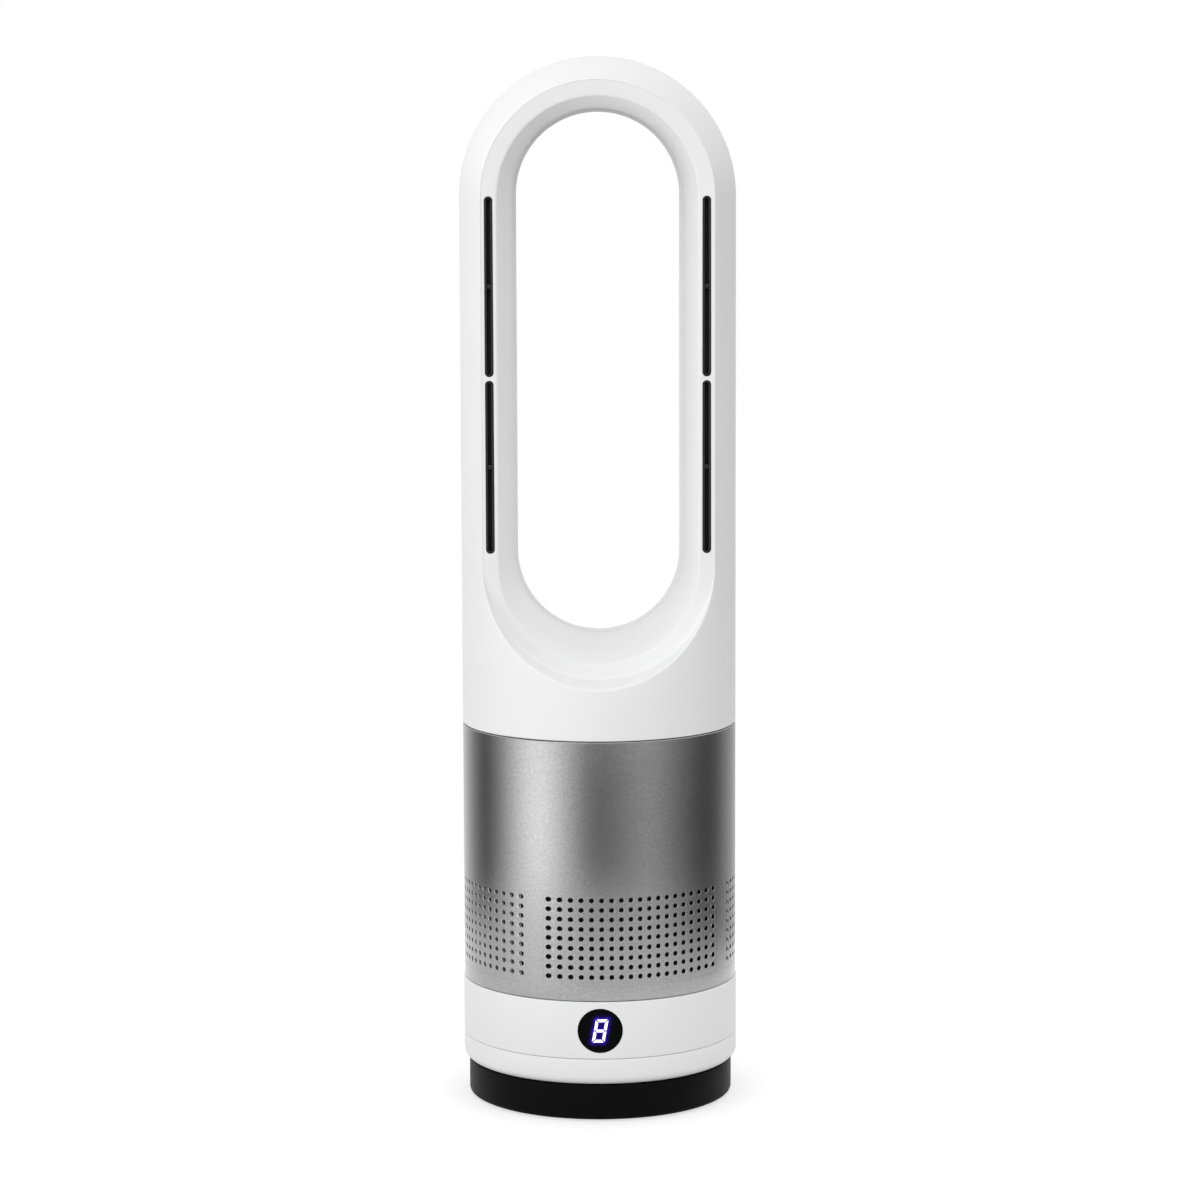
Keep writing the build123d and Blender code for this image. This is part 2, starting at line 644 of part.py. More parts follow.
def loop_shell():
    outer = capsule(TOWER_R, LOOP_Z)
    cavity = capsule(TOWER_R - WALL, LOOP_Z - 5)
    for side in (-1, 1):
        ends = sorted((side * FACE_Y, side * 100.0))
        inner_ends = sorted((side * (FACE_Y - WALL), side * 100.0))
        outer -= stadium_prism(POCKET_R, *ends)
        cavity -= stadium_prism(POCKET_R + WALL, *inner_ends)
    outer = outer - bore(0) - stadium_prism(LIP_R, LIP_Y - 1, FACE_Y + 5)
    cavity -= bore(WALL)
    cavity -= stadium_prism(LIP_R + WALL, 0, FACE_Y)
    return outer - cavity


def shell_bosses(y_low, y_high):
    """Screw posts in the limbs, each webbed to the outer wall."""
    posts = []
    for side in (-1, 1):
        for z in SHELL_SCREW_Z:
            web_x = sorted((side * SHELL_SCREW_X, side * (TOWER_R - 2)))
            web = block(web_x, (y_low, y_high), (z - 1, z + 1))
            posts.append(rod(4.0, y_low, y_high, side * SHELL_SCREW_X, z) + web)
    return posts


def loop_bosses(angles):
    """Feet of the loop that the blower is screwed to."""
    post = disc(3.5, LOOP_Z, LOOP_Z + 14) + block((0, 7.5), (-1, 1), (LOOP_Z + 2.5, LOOP_Z + 14))
    return [place * post for place in ring_places(LOOP_BOSS_R, angles)]


def slot_outline(z_low, z_high, r):
    """Upright slot profile with full-round ends."""
    span = (z_high - z_low) - SLOT_W
    return Pos(0, (z_low + z_high) / 2) * Rot(0, 0, 90) * SlotCenterToCenter(span, 2 * r)


def slot_cutter(side, z_low, z_high, r, y_low, y_high):
    face = Plane.XZ.offset(-y_high) * Pos(side * SLOT_X, 0) * slot_outline(z_low, z_high, r)
    return extrude(face, y_high - y_low)


def loop_front_shell(shell):
    front = shell & block((-90, 90), (-90, -SEAM / 2), (LOOP_Z - 5, 620))
    trim = capsule(TOWER_R - 1, LOOP_Z)
    front = joined([front] + [boss & trim for boss in shell_bosses(-26, -SEAM / 2)])
    front = joined([front] + [boss & trim for boss in loop_bosses((225, 315))])
    for side in (-1, 1):
        for z in SHELL_SCREW_Z:
            front -= rod(1.5, -20, 1, side * SHELL_SCREW_X, z)
        for z_low, z_high in SLOT_SPANS.values():
            front -= slot_cutter(side, z_low, z_high, SLOT_W / 2, -50, -FACE_Y + WALL + 0.5)
    for place in ring_places(LOOP_BOSS_R, (225, 315)):
        front -= place * disc(1.5, LOOP_Z - 1, LOOP_Z + 12)
    return front


def loop_rear_shell(shell):
    rear = shell & block((-90, 90), (SEAM / 2, 90), (LOOP_Z - 5, 620))
    trim = capsule(TOWER_R - 1, LOOP_Z) & block((-90, 90), (0, FACE_Y - 1), (200, 620))
    rear = joined([rear] + [boss & trim for boss in shell_bosses(SEAM / 2, FACE_Y)])
    rear = joined([rear] + [boss & trim for boss in loop_bosses((45, 135))])
    for side in (-1, 1):
        for z in SHELL_SCREW_Z:
            rear -= rod(1.6, -1, 60, side * SHELL_SCREW_X, z)
            rear -= rod(3.0, 36, 60, side * SHELL_SCREW_X, z)
    for place in ring_places(LOOP_BOSS_R, (45, 135)):
        rear -= place * disc(1.5, LOOP_Z - 1, LOOP_Z + 12)
    return rear


def shell_screws():
    one = Rot(90, 0, 0) * screw(2.7, 1.6, 1.45, 50.0)
    places = [Pos(side * SHELL_SCREW_X, 36.0, z) for side in (-1, 1) for z in SHELL_SCREW_Z]
    return [place * one for place in places]


def nozzle(side, z_low, z_high):
    """Slim black frame that lines one air slot."""
    front_y = -FACE_Y + 0.15
    frame = slot_cutter(side, z_low, z_high, SLOT_W / 2 - 0.05, front_y, front_y + NOZZLE_DEPTH)
    gap = slot_cutter(side, z_low, z_high, NOZZLE_GAP / 2, front_y - 1, front_y + NOZZLE_DEPTH + 1)
    middle = (z_low + z_high) / 2
    bridge_x = (side * SLOT_X - SLOT_W / 2 + 0.5, side * SLOT_X + SLOT_W / 2 - 0.5)
    bridge = block(bridge_x, (front_y + 0.4, front_y + NOZZLE_DEPTH), (middle - BRIDGE / 2, middle + BRIDGE / 2))
    return frame - gap + bridge


def loop_screws():
    return screws_up(ring_places(LOOP_BOSS_R, CORNERS), DIFFUSER_TOP - 3.0, length=14.0)


def duct_gasket():
    return tube(TOWER_R - WALL - 0.05, 75.3, DIFFUSER_TOP, LOOP_Z + 2)


# ---- all sub-parts ---------------------------------------------------------
shell = loop_shell()

node("base_shell", base_shell())
node("base_plate", base_plate())
node("ballast_plate", ballast_plate())
node("rubber_feet", rubber_feet())
node("base_plate_screws", screws_up(ring_places(BASE_BOSS_R, CORNERS), PLATE_LOW, length=11.0))
node("dc_jack", dc_jack())
node("dc_jack_pin", dc_jack_pin())
node("base_lead", base_lead())
node("glide_ring", tube(GLIDE_OUTER, GLIDE_INNER, BASE_TOP - 1.0, TABLE_Z - 0.05))
node("swing_gear", swing_gear())
node("swing_gear_screws", screws_down(ring_places(*GEAR_SCREWS), GEAR_Z[1], 2.4, 1.4, 1.25, 11.0))
node("swing_pinion", swing_pinion())
node("pinion_shaft", pinion_shaft())
node("turntable", turntable())
node("pivot_bush", pivot_bush())
node("control_ring", control_ring())
node("ring_screws", screws_up(ring_places(RING_BOSS_R, CORNERS), TABLE_Z + 1.2, 2.7, 1.0, 1.45, 14.0))
node("display_lens", display_lens())
node("display_digit", display_digit())
node("led_module", led_module())
node("display_board", display_board())
node("ir_receiver", ir_receiver())
node("swing_motor", swing_motor())
node("swing_motor_screws", swing_motor_screws())
node("control_board", control_board())
node("board_parts", board_parts())
node("control_board_screws", control_board_screws())
node("board_lead", board_lead())
node("chassis_frame", chassis_frame())
node("chassis_screws", screws_down(ring_places(RING_BOSS_R, CORNERS), FLANGE_Z[1], length=12.0))
node("intake_sleeve", intake_sleeve())
node("intake_filter", intake_filter())
node("inlet_bellmouth", inlet_bellmouth())
node("diffuser_housing", diffuser_housing())
node("blower_screws", screws_down(ring_places(PILLAR_R, PILLAR_ANGLES), PLATE_Z + 4, length=14.0))
node("motor_can", motor_can())
node("motor_stator", motor_stator())
node("stator_windings", stator_windings())
node("motor_board", motor_board())
node("bearing_lower", bearing(188.7))
node("bearing_upper", bearing(CAP_Z[0] + 0.4))
node("motor_cap", motor_cap())
node("motor_cap_screws", motor_cap_screws())
node("tail_cone", tail_cone())
node("impeller", impeller())
node("rotor_shaft", rotor_shaft())
node("rotor_magnet", rotor_magnet())
node("impeller_nut", impeller_nut())
node("duct_gasket", duct_gasket())
node("loop_front_shell", loop_front_shell(shell))
node("loop_rear_shell", loop_rear_shell(shell))
node("shell_screws", shell_screws())
node("loop_screws", loop_screws())
for side, side_name in ((-1, "left"), (1, "right")):
    for level, (z_low, z_high) in SLOT_SPANS.items():
        node(f"nozzle_{side_name}_{level}", nozzle(side, z_low, z_high))

os.makedirs("parts", exist_ok=True)
for name, body in NODES.items():
    export_step(body, f"parts/{name}.step")
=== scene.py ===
# %% [markdown]
# # A bladeless tower fan
#
# The fan is a round black foot, a white turntable ring with a lit figure, a grey lacquered
# sleeve punched with small intake holes, and a tall white loop that blows air from four slots.
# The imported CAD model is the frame: it holds every inner part, and it says where everything is.
# Here the outside skins are modelled again with soft edges and smooth curves, each in the place
# of its CAD node, and every part gets the finish of the real material.

# %% Load the frame
import bmesh
import bpy
from math import atan2, cos, exp, hypot, pi, radians, sin, sqrt, tan
from mathutils import Matrix, Vector


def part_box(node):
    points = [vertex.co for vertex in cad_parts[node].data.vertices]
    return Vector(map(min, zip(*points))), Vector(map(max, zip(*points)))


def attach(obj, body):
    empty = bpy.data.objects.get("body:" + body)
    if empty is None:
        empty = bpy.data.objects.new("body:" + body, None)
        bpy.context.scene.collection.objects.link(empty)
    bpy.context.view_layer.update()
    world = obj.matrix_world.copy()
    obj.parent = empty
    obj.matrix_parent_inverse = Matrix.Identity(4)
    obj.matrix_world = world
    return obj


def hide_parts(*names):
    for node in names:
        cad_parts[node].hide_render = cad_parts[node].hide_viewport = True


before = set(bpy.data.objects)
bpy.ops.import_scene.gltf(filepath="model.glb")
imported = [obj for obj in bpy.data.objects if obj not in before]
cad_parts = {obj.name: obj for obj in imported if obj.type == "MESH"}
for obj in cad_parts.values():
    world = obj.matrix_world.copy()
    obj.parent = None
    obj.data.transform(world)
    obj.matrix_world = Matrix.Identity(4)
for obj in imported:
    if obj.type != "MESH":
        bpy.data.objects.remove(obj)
bpy.ops.object.select_all(action="DESELECT")
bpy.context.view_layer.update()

# %% [markdown]
# ## Reading sizes from the frame
#
# A new skin has to sit exactly where its CAD node is. So radii and heights are read from the
# nodes' boxes, and only the small things that a box can't tell, such as an edge's rounding, are
# named here. One millimetre is 0.001 of Blender's metres.

# %% Sizes
MM = 0.001
NEAR = 1e-6         # metres: points nearer than this count as being in one place
TOWER_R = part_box("intake_sleeve")[1].x
SLEEVE_LOW, SLEEVE_TOP = (corner.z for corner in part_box("intake_sleeve"))
RING_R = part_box("control_ring")[1].x
RING_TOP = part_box("control_ring")[1].z
TABLE_LOW, TABLE_TOP = (corner.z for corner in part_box("turntable"))
FOOT_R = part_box("base_shell")[1].x
FOOT_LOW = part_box("base_shell")[0].z
LOOP_LOW, LOOP_TOP = (corner.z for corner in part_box("loop_front_shell"))
ARCH_Z = LOOP_TOP - TOWER_R
SEAM = SLEEVE_LOW - RING_TOP
print("tower radius", TOWER_R, "arch centre", ARCH_Z, "seam", SEAM)

# %% [markdown]
# ## Working by hand, in code
#
# Modelling by hand means: add a primitive, go to edit mode, select some faces, and use a tool on
# them. In code the selecting is the hard part, because there is no mouse. These helpers select
# by a test on where a vertex, edge or face is, so that each step below reads like the real one.

# %% Helpers for edit mode
def only(piece):
    """Makes one object the active and only selected one."""
    if bpy.context.object and bpy.context.object.mode != "OBJECT":
        bpy.ops.object.mode_set(mode="OBJECT")
    bpy.ops.object.select_all(action="DESELECT")
    piece.select_set(True)
    bpy.context.view_layer.objects.active = piece


def edit(piece):
    only(piece)
    bpy.ops.object.mode_set(mode="EDIT")


def leave():
    bpy.ops.object.mode_set(mode="OBJECT")


# %% Selecting by place
def nothing_picked(piece, mode):
    """In edit mode, sets what is selected by, deselects everything and gives the mesh."""
    bpy.ops.mesh.select_mode(type=mode)
    bpy.ops.mesh.select_all(action="DESELECT")
    return bmesh.from_edit_mesh(piece.data)


def pick_vertices(piece, test):
    """Selects the vertices that pass a test, and what lies between them."""
    mesh = nothing_picked(piece, "VERT")
    for vertex in mesh.verts:
        vertex.select = test(vertex.co)
    mesh.select_flush_mode()
    bmesh.update_edit_mesh(piece.data)


def pick_edges(piece, test, open_only=False):
    """Selects the edges whose two ends pass a test, or only those with a face missing."""
    for edge in nothing_picked(piece, "EDGE").edges:
        if (edge.is_boundary or not open_only) and test(edge.verts[0].co, edge.verts[1].co):
            edge.select_set(True)
    bmesh.update_edit_mesh(piece.data)


def pick_faces(piece, test):
    """Selects the faces whose middle and normal pass a test."""
    for face in nothing_picked(piece, "FACE").faces:
        if test(face.calc_center_median(), face.normal):
            face.select_set(True)
    bmesh.update_edit_mesh(piece.data)


# %% Small tools
def extrude(x, y, z):
    """Extrudes what is selected and moves it by this much."""
    bpy.ops.mesh.extrude_region_move(TRANSFORM_OT_translate={"value": (x, y, z)})


def face_outwards():
    """Turns all faces of the edited mesh outwards."""
    bpy.ops.mesh.select_all(action="SELECT")
    bpy.ops.mesh.normals_make_consistent(inside=False)


def close_up(piece, distance=0.01 * MM):
    """Merges doubled vertices and turns all faces outwards."""
    edit(piece)
    bpy.ops.mesh.select_all(action="SELECT")
    bpy.ops.mesh.remove_doubles(threshold=distance)
    face_outwards()
    leave()


def apply_modifier(piece, kind, **settings):
    only(piece)
    modifier = piece.modifiers.new(kind.title(), kind)
    for name, value in settings.items():
        setattr(modifier, name, value)
    bpy.ops.object.modifier_apply(modifier=modifier.name)


def smooth(piece, angle=32):
    """Smooth shading, but crisp where faces meet more sharply than the angle."""
    only(piece)
    bpy.ops.object.shade_smooth_by_angle(angle=radians(angle))


def join(pieces, name):
    only(pieces[0])
    for piece in pieces:
        piece.select_set(True)
    bpy.ops.object.join()
    joined = bpy.context.object
    joined.name = name
    joined.data.name = name
    return joined


print("helpers for edit mode are ready")

# %% [markdown]
# ## Rounded outlines
#
# Moulded parts have no sharp corners, and it is the soft corner that catches the light. A turned
# part is drawn as one flat outline. `rounded` takes corners as (radius, height, rounding) and
# puts a short arc at each. `from_outline` adds a circle primitive with as many vertices and puts
# them in their places, and `turned` spins that outline once round the tower's axis.

# %% Rounded outline
ARC_STEPS = 5


def rounded(corners):
    """Closed outline with an arc of the given radius at each corner, all in millimetres."""
    outline = []
    count = len(corners)
    for number, (x, z, radius) in enumerate(corners):
        here = Vector((x, z))
        if radius == 0:
            outline.append(here)
            continue
        before = Vector(corners[number - 1][:2])
        after = Vector(corners[(number + 1) % count][:2])
        one, two = (before - here).normalized(), (after - here).normalized()
        half = one.angle(two) / 2
        reach = radius / tan(half)
        centre = here + (one + two).normalized() * (radius / sin(half))
        start, end = here + one * reach - centre, here + two * reach - centre
        turn = start.angle_signed(end)
        for step in range(ARC_STEPS + 1):
            spoke = start.copy()
            spoke.rotate(Matrix.Rotation(-turn * step / ARC_STEPS, 2))
            outline.append(centre + spoke)
    return outline


print("a square corner gets", len(rounded([(0, 0, 0), (9, 0, 1), (9, 9, 0)])) - 2, "points")

# %% Turned parts
def from_outline(name, places, fill="NOTHING"):
    """Piece that starts as a circle primitive whose vertices are put in these places."""
    bpy.ops.mesh.primitive_circle_add(vertices=len(places), radius=MM, fill_type=fill)
    piece = bpy.context.object
    piece.name = piece.data.name = name
    for vertex, place in zip(piece.data.vertices, places):
        vertex.co = place
    return piece


def turned(name, corners, steps=256):
    """Solid of revolution about the tower axis."""
    piece = from_outline(name, [(x * MM, 0, z * MM) for x, z in rounded(corners)])
    edit(piece)
    bpy.ops.mesh.select_all(action="SELECT")
    bpy.ops.mesh.spin(steps=steps, angle=2 * pi, center=(0, 0, 0), axis=(0, 0, 1))
    leave()
    close_up(piece)
    return piece

# %% [markdown]
# ## Cutting one solid with another
#
# A window in a moulded wall is left by a pin in the mould. Drawing it into the wall's own faces
# would mean cutting many of them by hand. A Boolean modifier does the same in one step: it takes
# a plain cylinder out of the wall, and on a smooth wall like these it leaves a clean edge.

# %% Cutters
def cylinder(name, radius, start, end, vertices=48):
    """Plain cylinder between two points, used as a cutter."""
    start, end = Vector(start), Vector(end)
    length = (end - start).length
    bpy.ops.mesh.primitive_cylinder_add(vertices=vertices, radius=radius, depth=length)
    rod = bpy.context.object
    rod.name = name
    turn = (end - start).to_track_quat("Z", "Y").to_matrix().to_4x4()
    rod.data.transform(Matrix.Translation((start + end) / 2) @ turn)
    return rod


def cut(piece, cutter):
    """Takes one solid out of another and deletes the cutter."""
    apply_modifier(piece, "BOOLEAN", object=cutter, operation="DIFFERENCE", solver="EXACT")
    bpy.data.objects.remove(cutter)


OVERCUT = 5 * MM        # a cutter starts this far outside the wall, so no skin is left over it
print("cutters start", OVERCUT, "m outside the wall")

# %% [markdown]
# ## The black foot
#
# The foot is a shallow moulded cup that stands still while the tower turns on it. It could be a
# cylinder with bevelled edges, but then its wall would be solid. So it is turned from an outline
# with a soft lower edge and an open underside, and the power inlet's window is cut at the back.

# %% Foot
FOOT_ROUND = 2.4
FOOT_WALL = 2.5
FOOT_BORE = 20
DECK = 3.0
INLET_R = 5.2 * MM
INLET_DEPTH = 6 * MM
foot_r, foot_low = FOOT_R / MM, FOOT_LOW / MM
foot_top = TABLE_LOW / MM - SEAM / MM
foot = turned("foot_shell", [
    (foot_r, foot_top, 0.8), (foot_r, foot_low, FOOT_ROUND), (foot_r - FOOT_WALL, foot_low, 0.6),
    (foot_r - FOOT_WALL, foot_top - DECK, 0.5), (FOOT_BORE, foot_top - DECK, 0),
    (FOOT_BORE, foot_top, 0)])
inlet_low, inlet_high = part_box("dc_jack")
inlet_z = (inlet_low.z + inlet_high.z) / 2
cut(foot, cylinder("inlet_cut", INLET_R, (0, FOOT_R - INLET_DEPTH, inlet_z),
                   (0, FOOT_R + OVERCUT, inlet_z)))
smooth(foot)
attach(foot, "base")
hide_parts("base_shell")
print("foot", foot.dimensions)

# %% [markdown]
# ## The white turntable
#
# The white ring is two mouldings. The lower one is the turntable, a cup with a generous lower
# rounding that carries the whole tower. Between the two runs a fine shadow line, which is nothing
# more than two small roundings that face each other across a gap, so both outlines end there.

# %% Turntable
TABLE_ROUND = 5.0
TABLE_FLOOR = 2.5
TABLE_BORE = 24
RING_WALL = 2.6
SHADOW_GAP = 0.32
ring_r = RING_R / MM
table_low, table_top, ring_top = TABLE_LOW / MM, TABLE_TOP / MM, RING_TOP / MM
seam_z = table_top + SEAM / MM / 2
table_rim, ring_rim = seam_z - SHADOW_GAP / 2, seam_z + SHADOW_GAP / 2
wall_r = ring_r - RING_WALL
table = turned("turntable_skin", [
    (ring_r, table_rim, 0.3), (ring_r, table_low, TABLE_ROUND), (TABLE_BORE, table_low, 0),
    (TABLE_BORE, table_low + TABLE_FLOOR, 0), (wall_r, table_low + TABLE_FLOOR, 0.4),
    (wall_r, table_rim, 0)])
smooth(table)
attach(table, "tower")
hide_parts("turntable")
print("shadow line at", seam_z, "mm")

# %% [markdown]
# ## The control ring
#
# The upper moulding carries the display. Inside, a spigot reaches down into the turntable, and it
# is what the eye meets at the bottom of the shadow line, so the gap is never see-through. The
# round window is cut with a cylinder a hair wider than the lens, as a real window has play.

# %% Control ring
SPIGOT_R = ring_r - 4.6
SPIGOT_DOWN, SPIGOT_UP = 2, 4
LENS_PLAY = 0.12 * MM
LENS_POCKET = 8 * MM
ring = turned("control_ring_skin", [
    (ring_r, ring_top, 0.6), (ring_r, ring_rim, 0.3), (wall_r, ring_rim, 0),
    (wall_r, seam_z - SPIGOT_DOWN, 0), (SPIGOT_R, seam_z - SPIGOT_DOWN, 0),
    (SPIGOT_R, seam_z + SPIGOT_UP, 0), (wall_r, seam_z + SPIGOT_UP, 0), (wall_r, ring_top, 0)])
lens_low, lens_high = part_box("display_lens")
LENS_Z = (lens_low.z + lens_high.z) / 2
LENS_R = (lens_high.z - lens_low.z) / 2
cut(ring, cylinder("lens_cut", LENS_R + LENS_PLAY, (0, -RING_R - OVERCUT, LENS_Z),
                   (0, -RING_R + LENS_POCKET, LENS_Z), 96))
smooth(ring)
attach(ring, "tower")
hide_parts("control_ring")
print("lens at", LENS_Z, "with radius", LENS_R)

# %% [markdown]
# ## The display window
#
# The window is a disc of polished black acrylic that follows the ring's curve. One flat face
# can't bend, so a filled circle is divided into rings of faces by inset. It stays flat until the
# glow has been painted on it, and then each vertex is seated on a cylinder just inside the
# ring's skin.

# %% Helpers for the window
def seat_on_cylinder(piece, radius):
    """Moves vertices along Y onto a cylinder round the tower axis, at the front."""
    for vertex in piece.data.vertices:
        vertex.co.y -= sqrt(radius ** 2 - vertex.co.x ** 2)


def on_front_rim(a, b):
    """True for an edge of the front face's outline."""
    return max(a.y, b.y) < NEAR and min(hypot(a.x, a.z), hypot(b.x, b.z)) > LENS_R - 0.01 * MM


def upright_disc(radius, vertices):
    """Filled circle that faces forwards, with its turn applied."""
    bpy.ops.mesh.primitive_circle_add(vertices=vertices, radius=radius, fill_type="NGON",
                                      rotation=(pi / 2, 0, 0))
    bpy.ops.object.transform_apply(rotation=True)
    return bpy.context.object


# %% Lens
LENS_THICK = 2.2 * MM
LENS_SINK = 0.12 * MM
LENS_EDGE = 0.4 * MM
LENS_ROUND = 0.3 * MM
RING_STEP = 0.45 * MM
lens = upright_disc(LENS_R, 96)
lens.name = lens.data.name = "display_window"
edit(lens)
bpy.ops.mesh.select_all(action="SELECT")
bpy.ops.mesh.inset(thickness=LENS_EDGE, depth=0)
for number in range(int(LENS_R / RING_STEP) - 2):
    bpy.ops.mesh.inset(thickness=RING_STEP)
bpy.ops.mesh.select_all(action="SELECT")
extrude(0, LENS_THICK, 0)
face_outwards()
pick_edges(lens, on_front_rim)
bpy.ops.mesh.bevel(offset=LENS_ROUND, segments=3)
leave()
print("lens faces", len(lens.data.polygons))

# %% [markdown]
# ## The lit figure
#
# The figure is a seven-bar light guide behind the window. Three outlines are enough: an upright,
# a crossbar and the middle bar, and the signs of side and level mirror them to all seven places.
# A bar starts as a filled circle primitive with a corner at each vertex, then its corners are
# softened and it is extruded.

# %% One bar of the figure
FIGURE_W, FIGURE_H = 5.6, 11.9      # between the middles of the outer bars
STROKE = 1.65
SLANT = tan(radians(10.3))
BAR_GAP = 0.36
BAR_ROUND = 0.12 * MM
BAR_DEPTH = 0.5 * MM
CORNER_CUT = 0.55
FIGURE_PROUD = 0.11 * MM            # keeps the flat bars from sinking behind the curved window


def light_bar(outline, side, level):
    """One bar of the figure from its outline in millimetres, mirrored by the two signs."""
    bar = from_outline("light_bar", [((x * side + z * level * SLANT) * MM, 0, z * level * MM)
                                     for x, z in outline], "NGON")
    edit(bar)
    bpy.ops.mesh.select_all(action="SELECT")
    bpy.ops.mesh.bevel(offset=BAR_ROUND, segments=2, affect="VERTICES")
    bpy.ops.mesh.select_all(action="SELECT")
    extrude(0, BAR_DEPTH, 0)
    leave()
    return bar


# %% Seven bars
x_in, x_mid, x_out = (FIGURE_W / 2 + step * STROKE / 2 for step in (-1, 0, 1))
z_in, z_out = (FIGURE_H / 2 + step * STROKE / 2 for step in (-1, 1))
half = STROKE / 2
crossbar = [(x_in - BAR_GAP, z_in), (x_out - CORNER_CUT, z_out), (CORNER_CUT - x_out, z_out),
            (BAR_GAP - x_in, z_in)]
upright = [(x_in, half + BAR_GAP), (x_mid, BAR_GAP), (x_out, BAR_GAP),
           (x_out, z_out - CORNER_CUT), (x_in, z_in - BAR_GAP)]
middle = [(x_mid - BAR_GAP, 0), (x_in - BAR_GAP, half), (BAR_GAP - x_in, half),
          (BAR_GAP - x_mid, 0), (BAR_GAP - x_in, -half), (x_in - BAR_GAP, -half)]
bars = [light_bar(upright, side, level) for side in (-1, 1) for level in (-1, 1)]
bars += [light_bar(crossbar, 1, 1), light_bar(crossbar, 1, -1), light_bar(middle, 1, 1)]
figure = join(bars, "lit_figure")
close_up(figure)
seat_on_cylinder(figure, RING_R - LENS_SINK + FIGURE_PROUD)
figure.data.transform(Matrix.Translation((0, 0, LENS_Z)))
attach(figure, "tower")
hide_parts("display_digit")
print("figure", [round(size / MM, 1) for size in figure.dimensions], "mm")

# %% [markdown]
# ## Glow round the figure
#
# Light from the bars spreads a little inside the acrylic, as a violet halo. A lamp behind the
# window would give noise and no control. So each vertex of the window gets a number from 0 to 1
# that falls off with its distance from the nearest bars, and the finish reads it later.

# %% Glow
GLOW_REACH = 1.75
GLOW_PEAK = 0.8
corners = [(side * FIGURE_W / 2, level * FIGURE_H / 2) for level in (-1, 0, 1) for side in (-1, 1)]
links = [(0, 1), (2, 3), (4, 5), (0, 2), (1, 3), (2, 4), (3, 5)]


def bar_distance(point, a, b):
    """Distance in millimetres from a point of the window to the middle line of one bar."""
    (x0, z0), (x1, z1) = a, b
    z = point.z / MM
    x = point.x / MM - z * SLANT
    share = ((x - x0) * (x1 - x0) + (z - z0) * (z1 - z0)) / ((x1 - x0) ** 2 + (z1 - z0) ** 2)
    share = min(1.0, max(0.0, share))
    return hypot(x - x0 - share * (x1 - x0), z - z0 - share * (z1 - z0))


glow = lens.data.attributes.new("glow", "FLOAT", "POINT")
for vertex, value in zip(lens.data.vertices, glow.data):
    aways = [bar_distance(vertex.co, corners[a], corners[b]) / GLOW_REACH for a, b in links]
    value.value = min(1.0, sum(GLOW_PEAK * exp(-away * away) for away in aways))
seat_on_cylinder(lens, RING_R - LENS_SINK)
lens.data.transform(Matrix.Translation((0, 0, LENS_Z)))
smooth(lens, 40)
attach(lens, "tower")
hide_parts("display_lens")
print("glow set on", len(glow.data), "vertices")

# %% [markdown]
# ## The punched sleeve
#
# The sleeve has 684 holes in four patches. A Boolean with that many cutters is slow and leaves a
# messy skin, so one square cell with one round, slightly countersunk hole is modelled, an Array
# repeats it along both sides, Solidify gives it a wall, and the flat panel is wrapped round the
# tower last. The holes stay straight, as they are where a tool punches a whole patch at once.

# %% One cell of the grille
HOLE_COLUMNS, HOLE_ROWS = 19, 9
PITCH_X, PITCH_Z = 5.52 * MM, 5.59 * MM
HOLE_R = 1.38 * MM
HOLE_LIP = 0.2 * MM
HOLE_BOTTOM_Z = 85.3 * MM
HOLE_SIDES = 16
CELL_RIM = 0.7 * MM


def hole_cell():
    """Flat square cell in the XZ plane, facing -Y, with one hole in its middle."""
    cell = upright_disc(1, HOLE_SIDES)
    for vertex in cell.data.vertices:
        reach = max(abs(vertex.co.x), abs(vertex.co.z))
        vertex.co = (vertex.co.x / reach * PITCH_X / 2, 0, vertex.co.z / reach * PITCH_Z / 2)
    edit(cell)
    bpy.ops.mesh.select_all(action="SELECT")
    bpy.ops.mesh.inset(thickness=CELL_RIM)
    seat_ring(cell, HOLE_R + HOLE_LIP)
    extrude(0, HOLE_LIP, 0)
    seat_ring(cell, HOLE_R)
    bpy.ops.mesh.delete(type="FACE")
    leave()
    return cell


def seat_ring(piece, radius):
    """Puts the selected ring of vertices on a circle round the cell's middle."""
    mesh = bmesh.from_edit_mesh(piece.data)
    for vertex in mesh.verts:
        if vertex.select:
            reach = radius / hypot(vertex.co.x, vertex.co.z)
            vertex.co.x *= reach
            vertex.co.z *= reach
    bmesh.update_edit_mesh(piece.data)


print("holes", 4 * HOLE_COLUMNS * HOLE_ROWS)

# %% [markdown]
# ## One flat panel of 19 by 9 cells
#
# An Array modifier copies the cell along X, and a second one copies that row upwards, and both
# merge the seams between cells. The lowest edges are then pulled down, because below the holes
# the patch has a plain strip. Solidify gives the whole sheet its wall while it is still flat.

# %% Flat panel
SLEEVE_WALL = 2.4 * MM
PANEL_SINK = 0.08 * MM
WINDOW_Z = (80.0 * MM, 132.7 * MM)
TUCK = 0.15 * MM        # the panel goes this far behind the window's lower edge
MERGE = 0.01 * MM
panel = hole_cell()
panel.name = "intake_panel"
panel.data.transform(Matrix.Translation((-(HOLE_COLUMNS - 1) / 2 * PITCH_X, 0, HOLE_BOTTOM_Z)))
for count, offset in ((HOLE_COLUMNS, (PITCH_X, 0, 0)), (HOLE_ROWS, (0, 0, PITCH_Z))):
    apply_modifier(panel, "ARRAY", count=count, use_relative_offset=False,
                   use_constant_offset=True, constant_offset_displace=offset,
                   use_merge_vertices=True, merge_threshold=MERGE)
panel_low = HOLE_BOTTOM_Z - PITCH_Z / 2
edit(panel)
pick_edges(panel, lambda a, b: max(a.z, b.z) < panel_low + 0.05 * MM)
extrude(0, 0, WINDOW_Z[0] - TUCK - panel_low)
leave()
close_up(panel, MERGE)
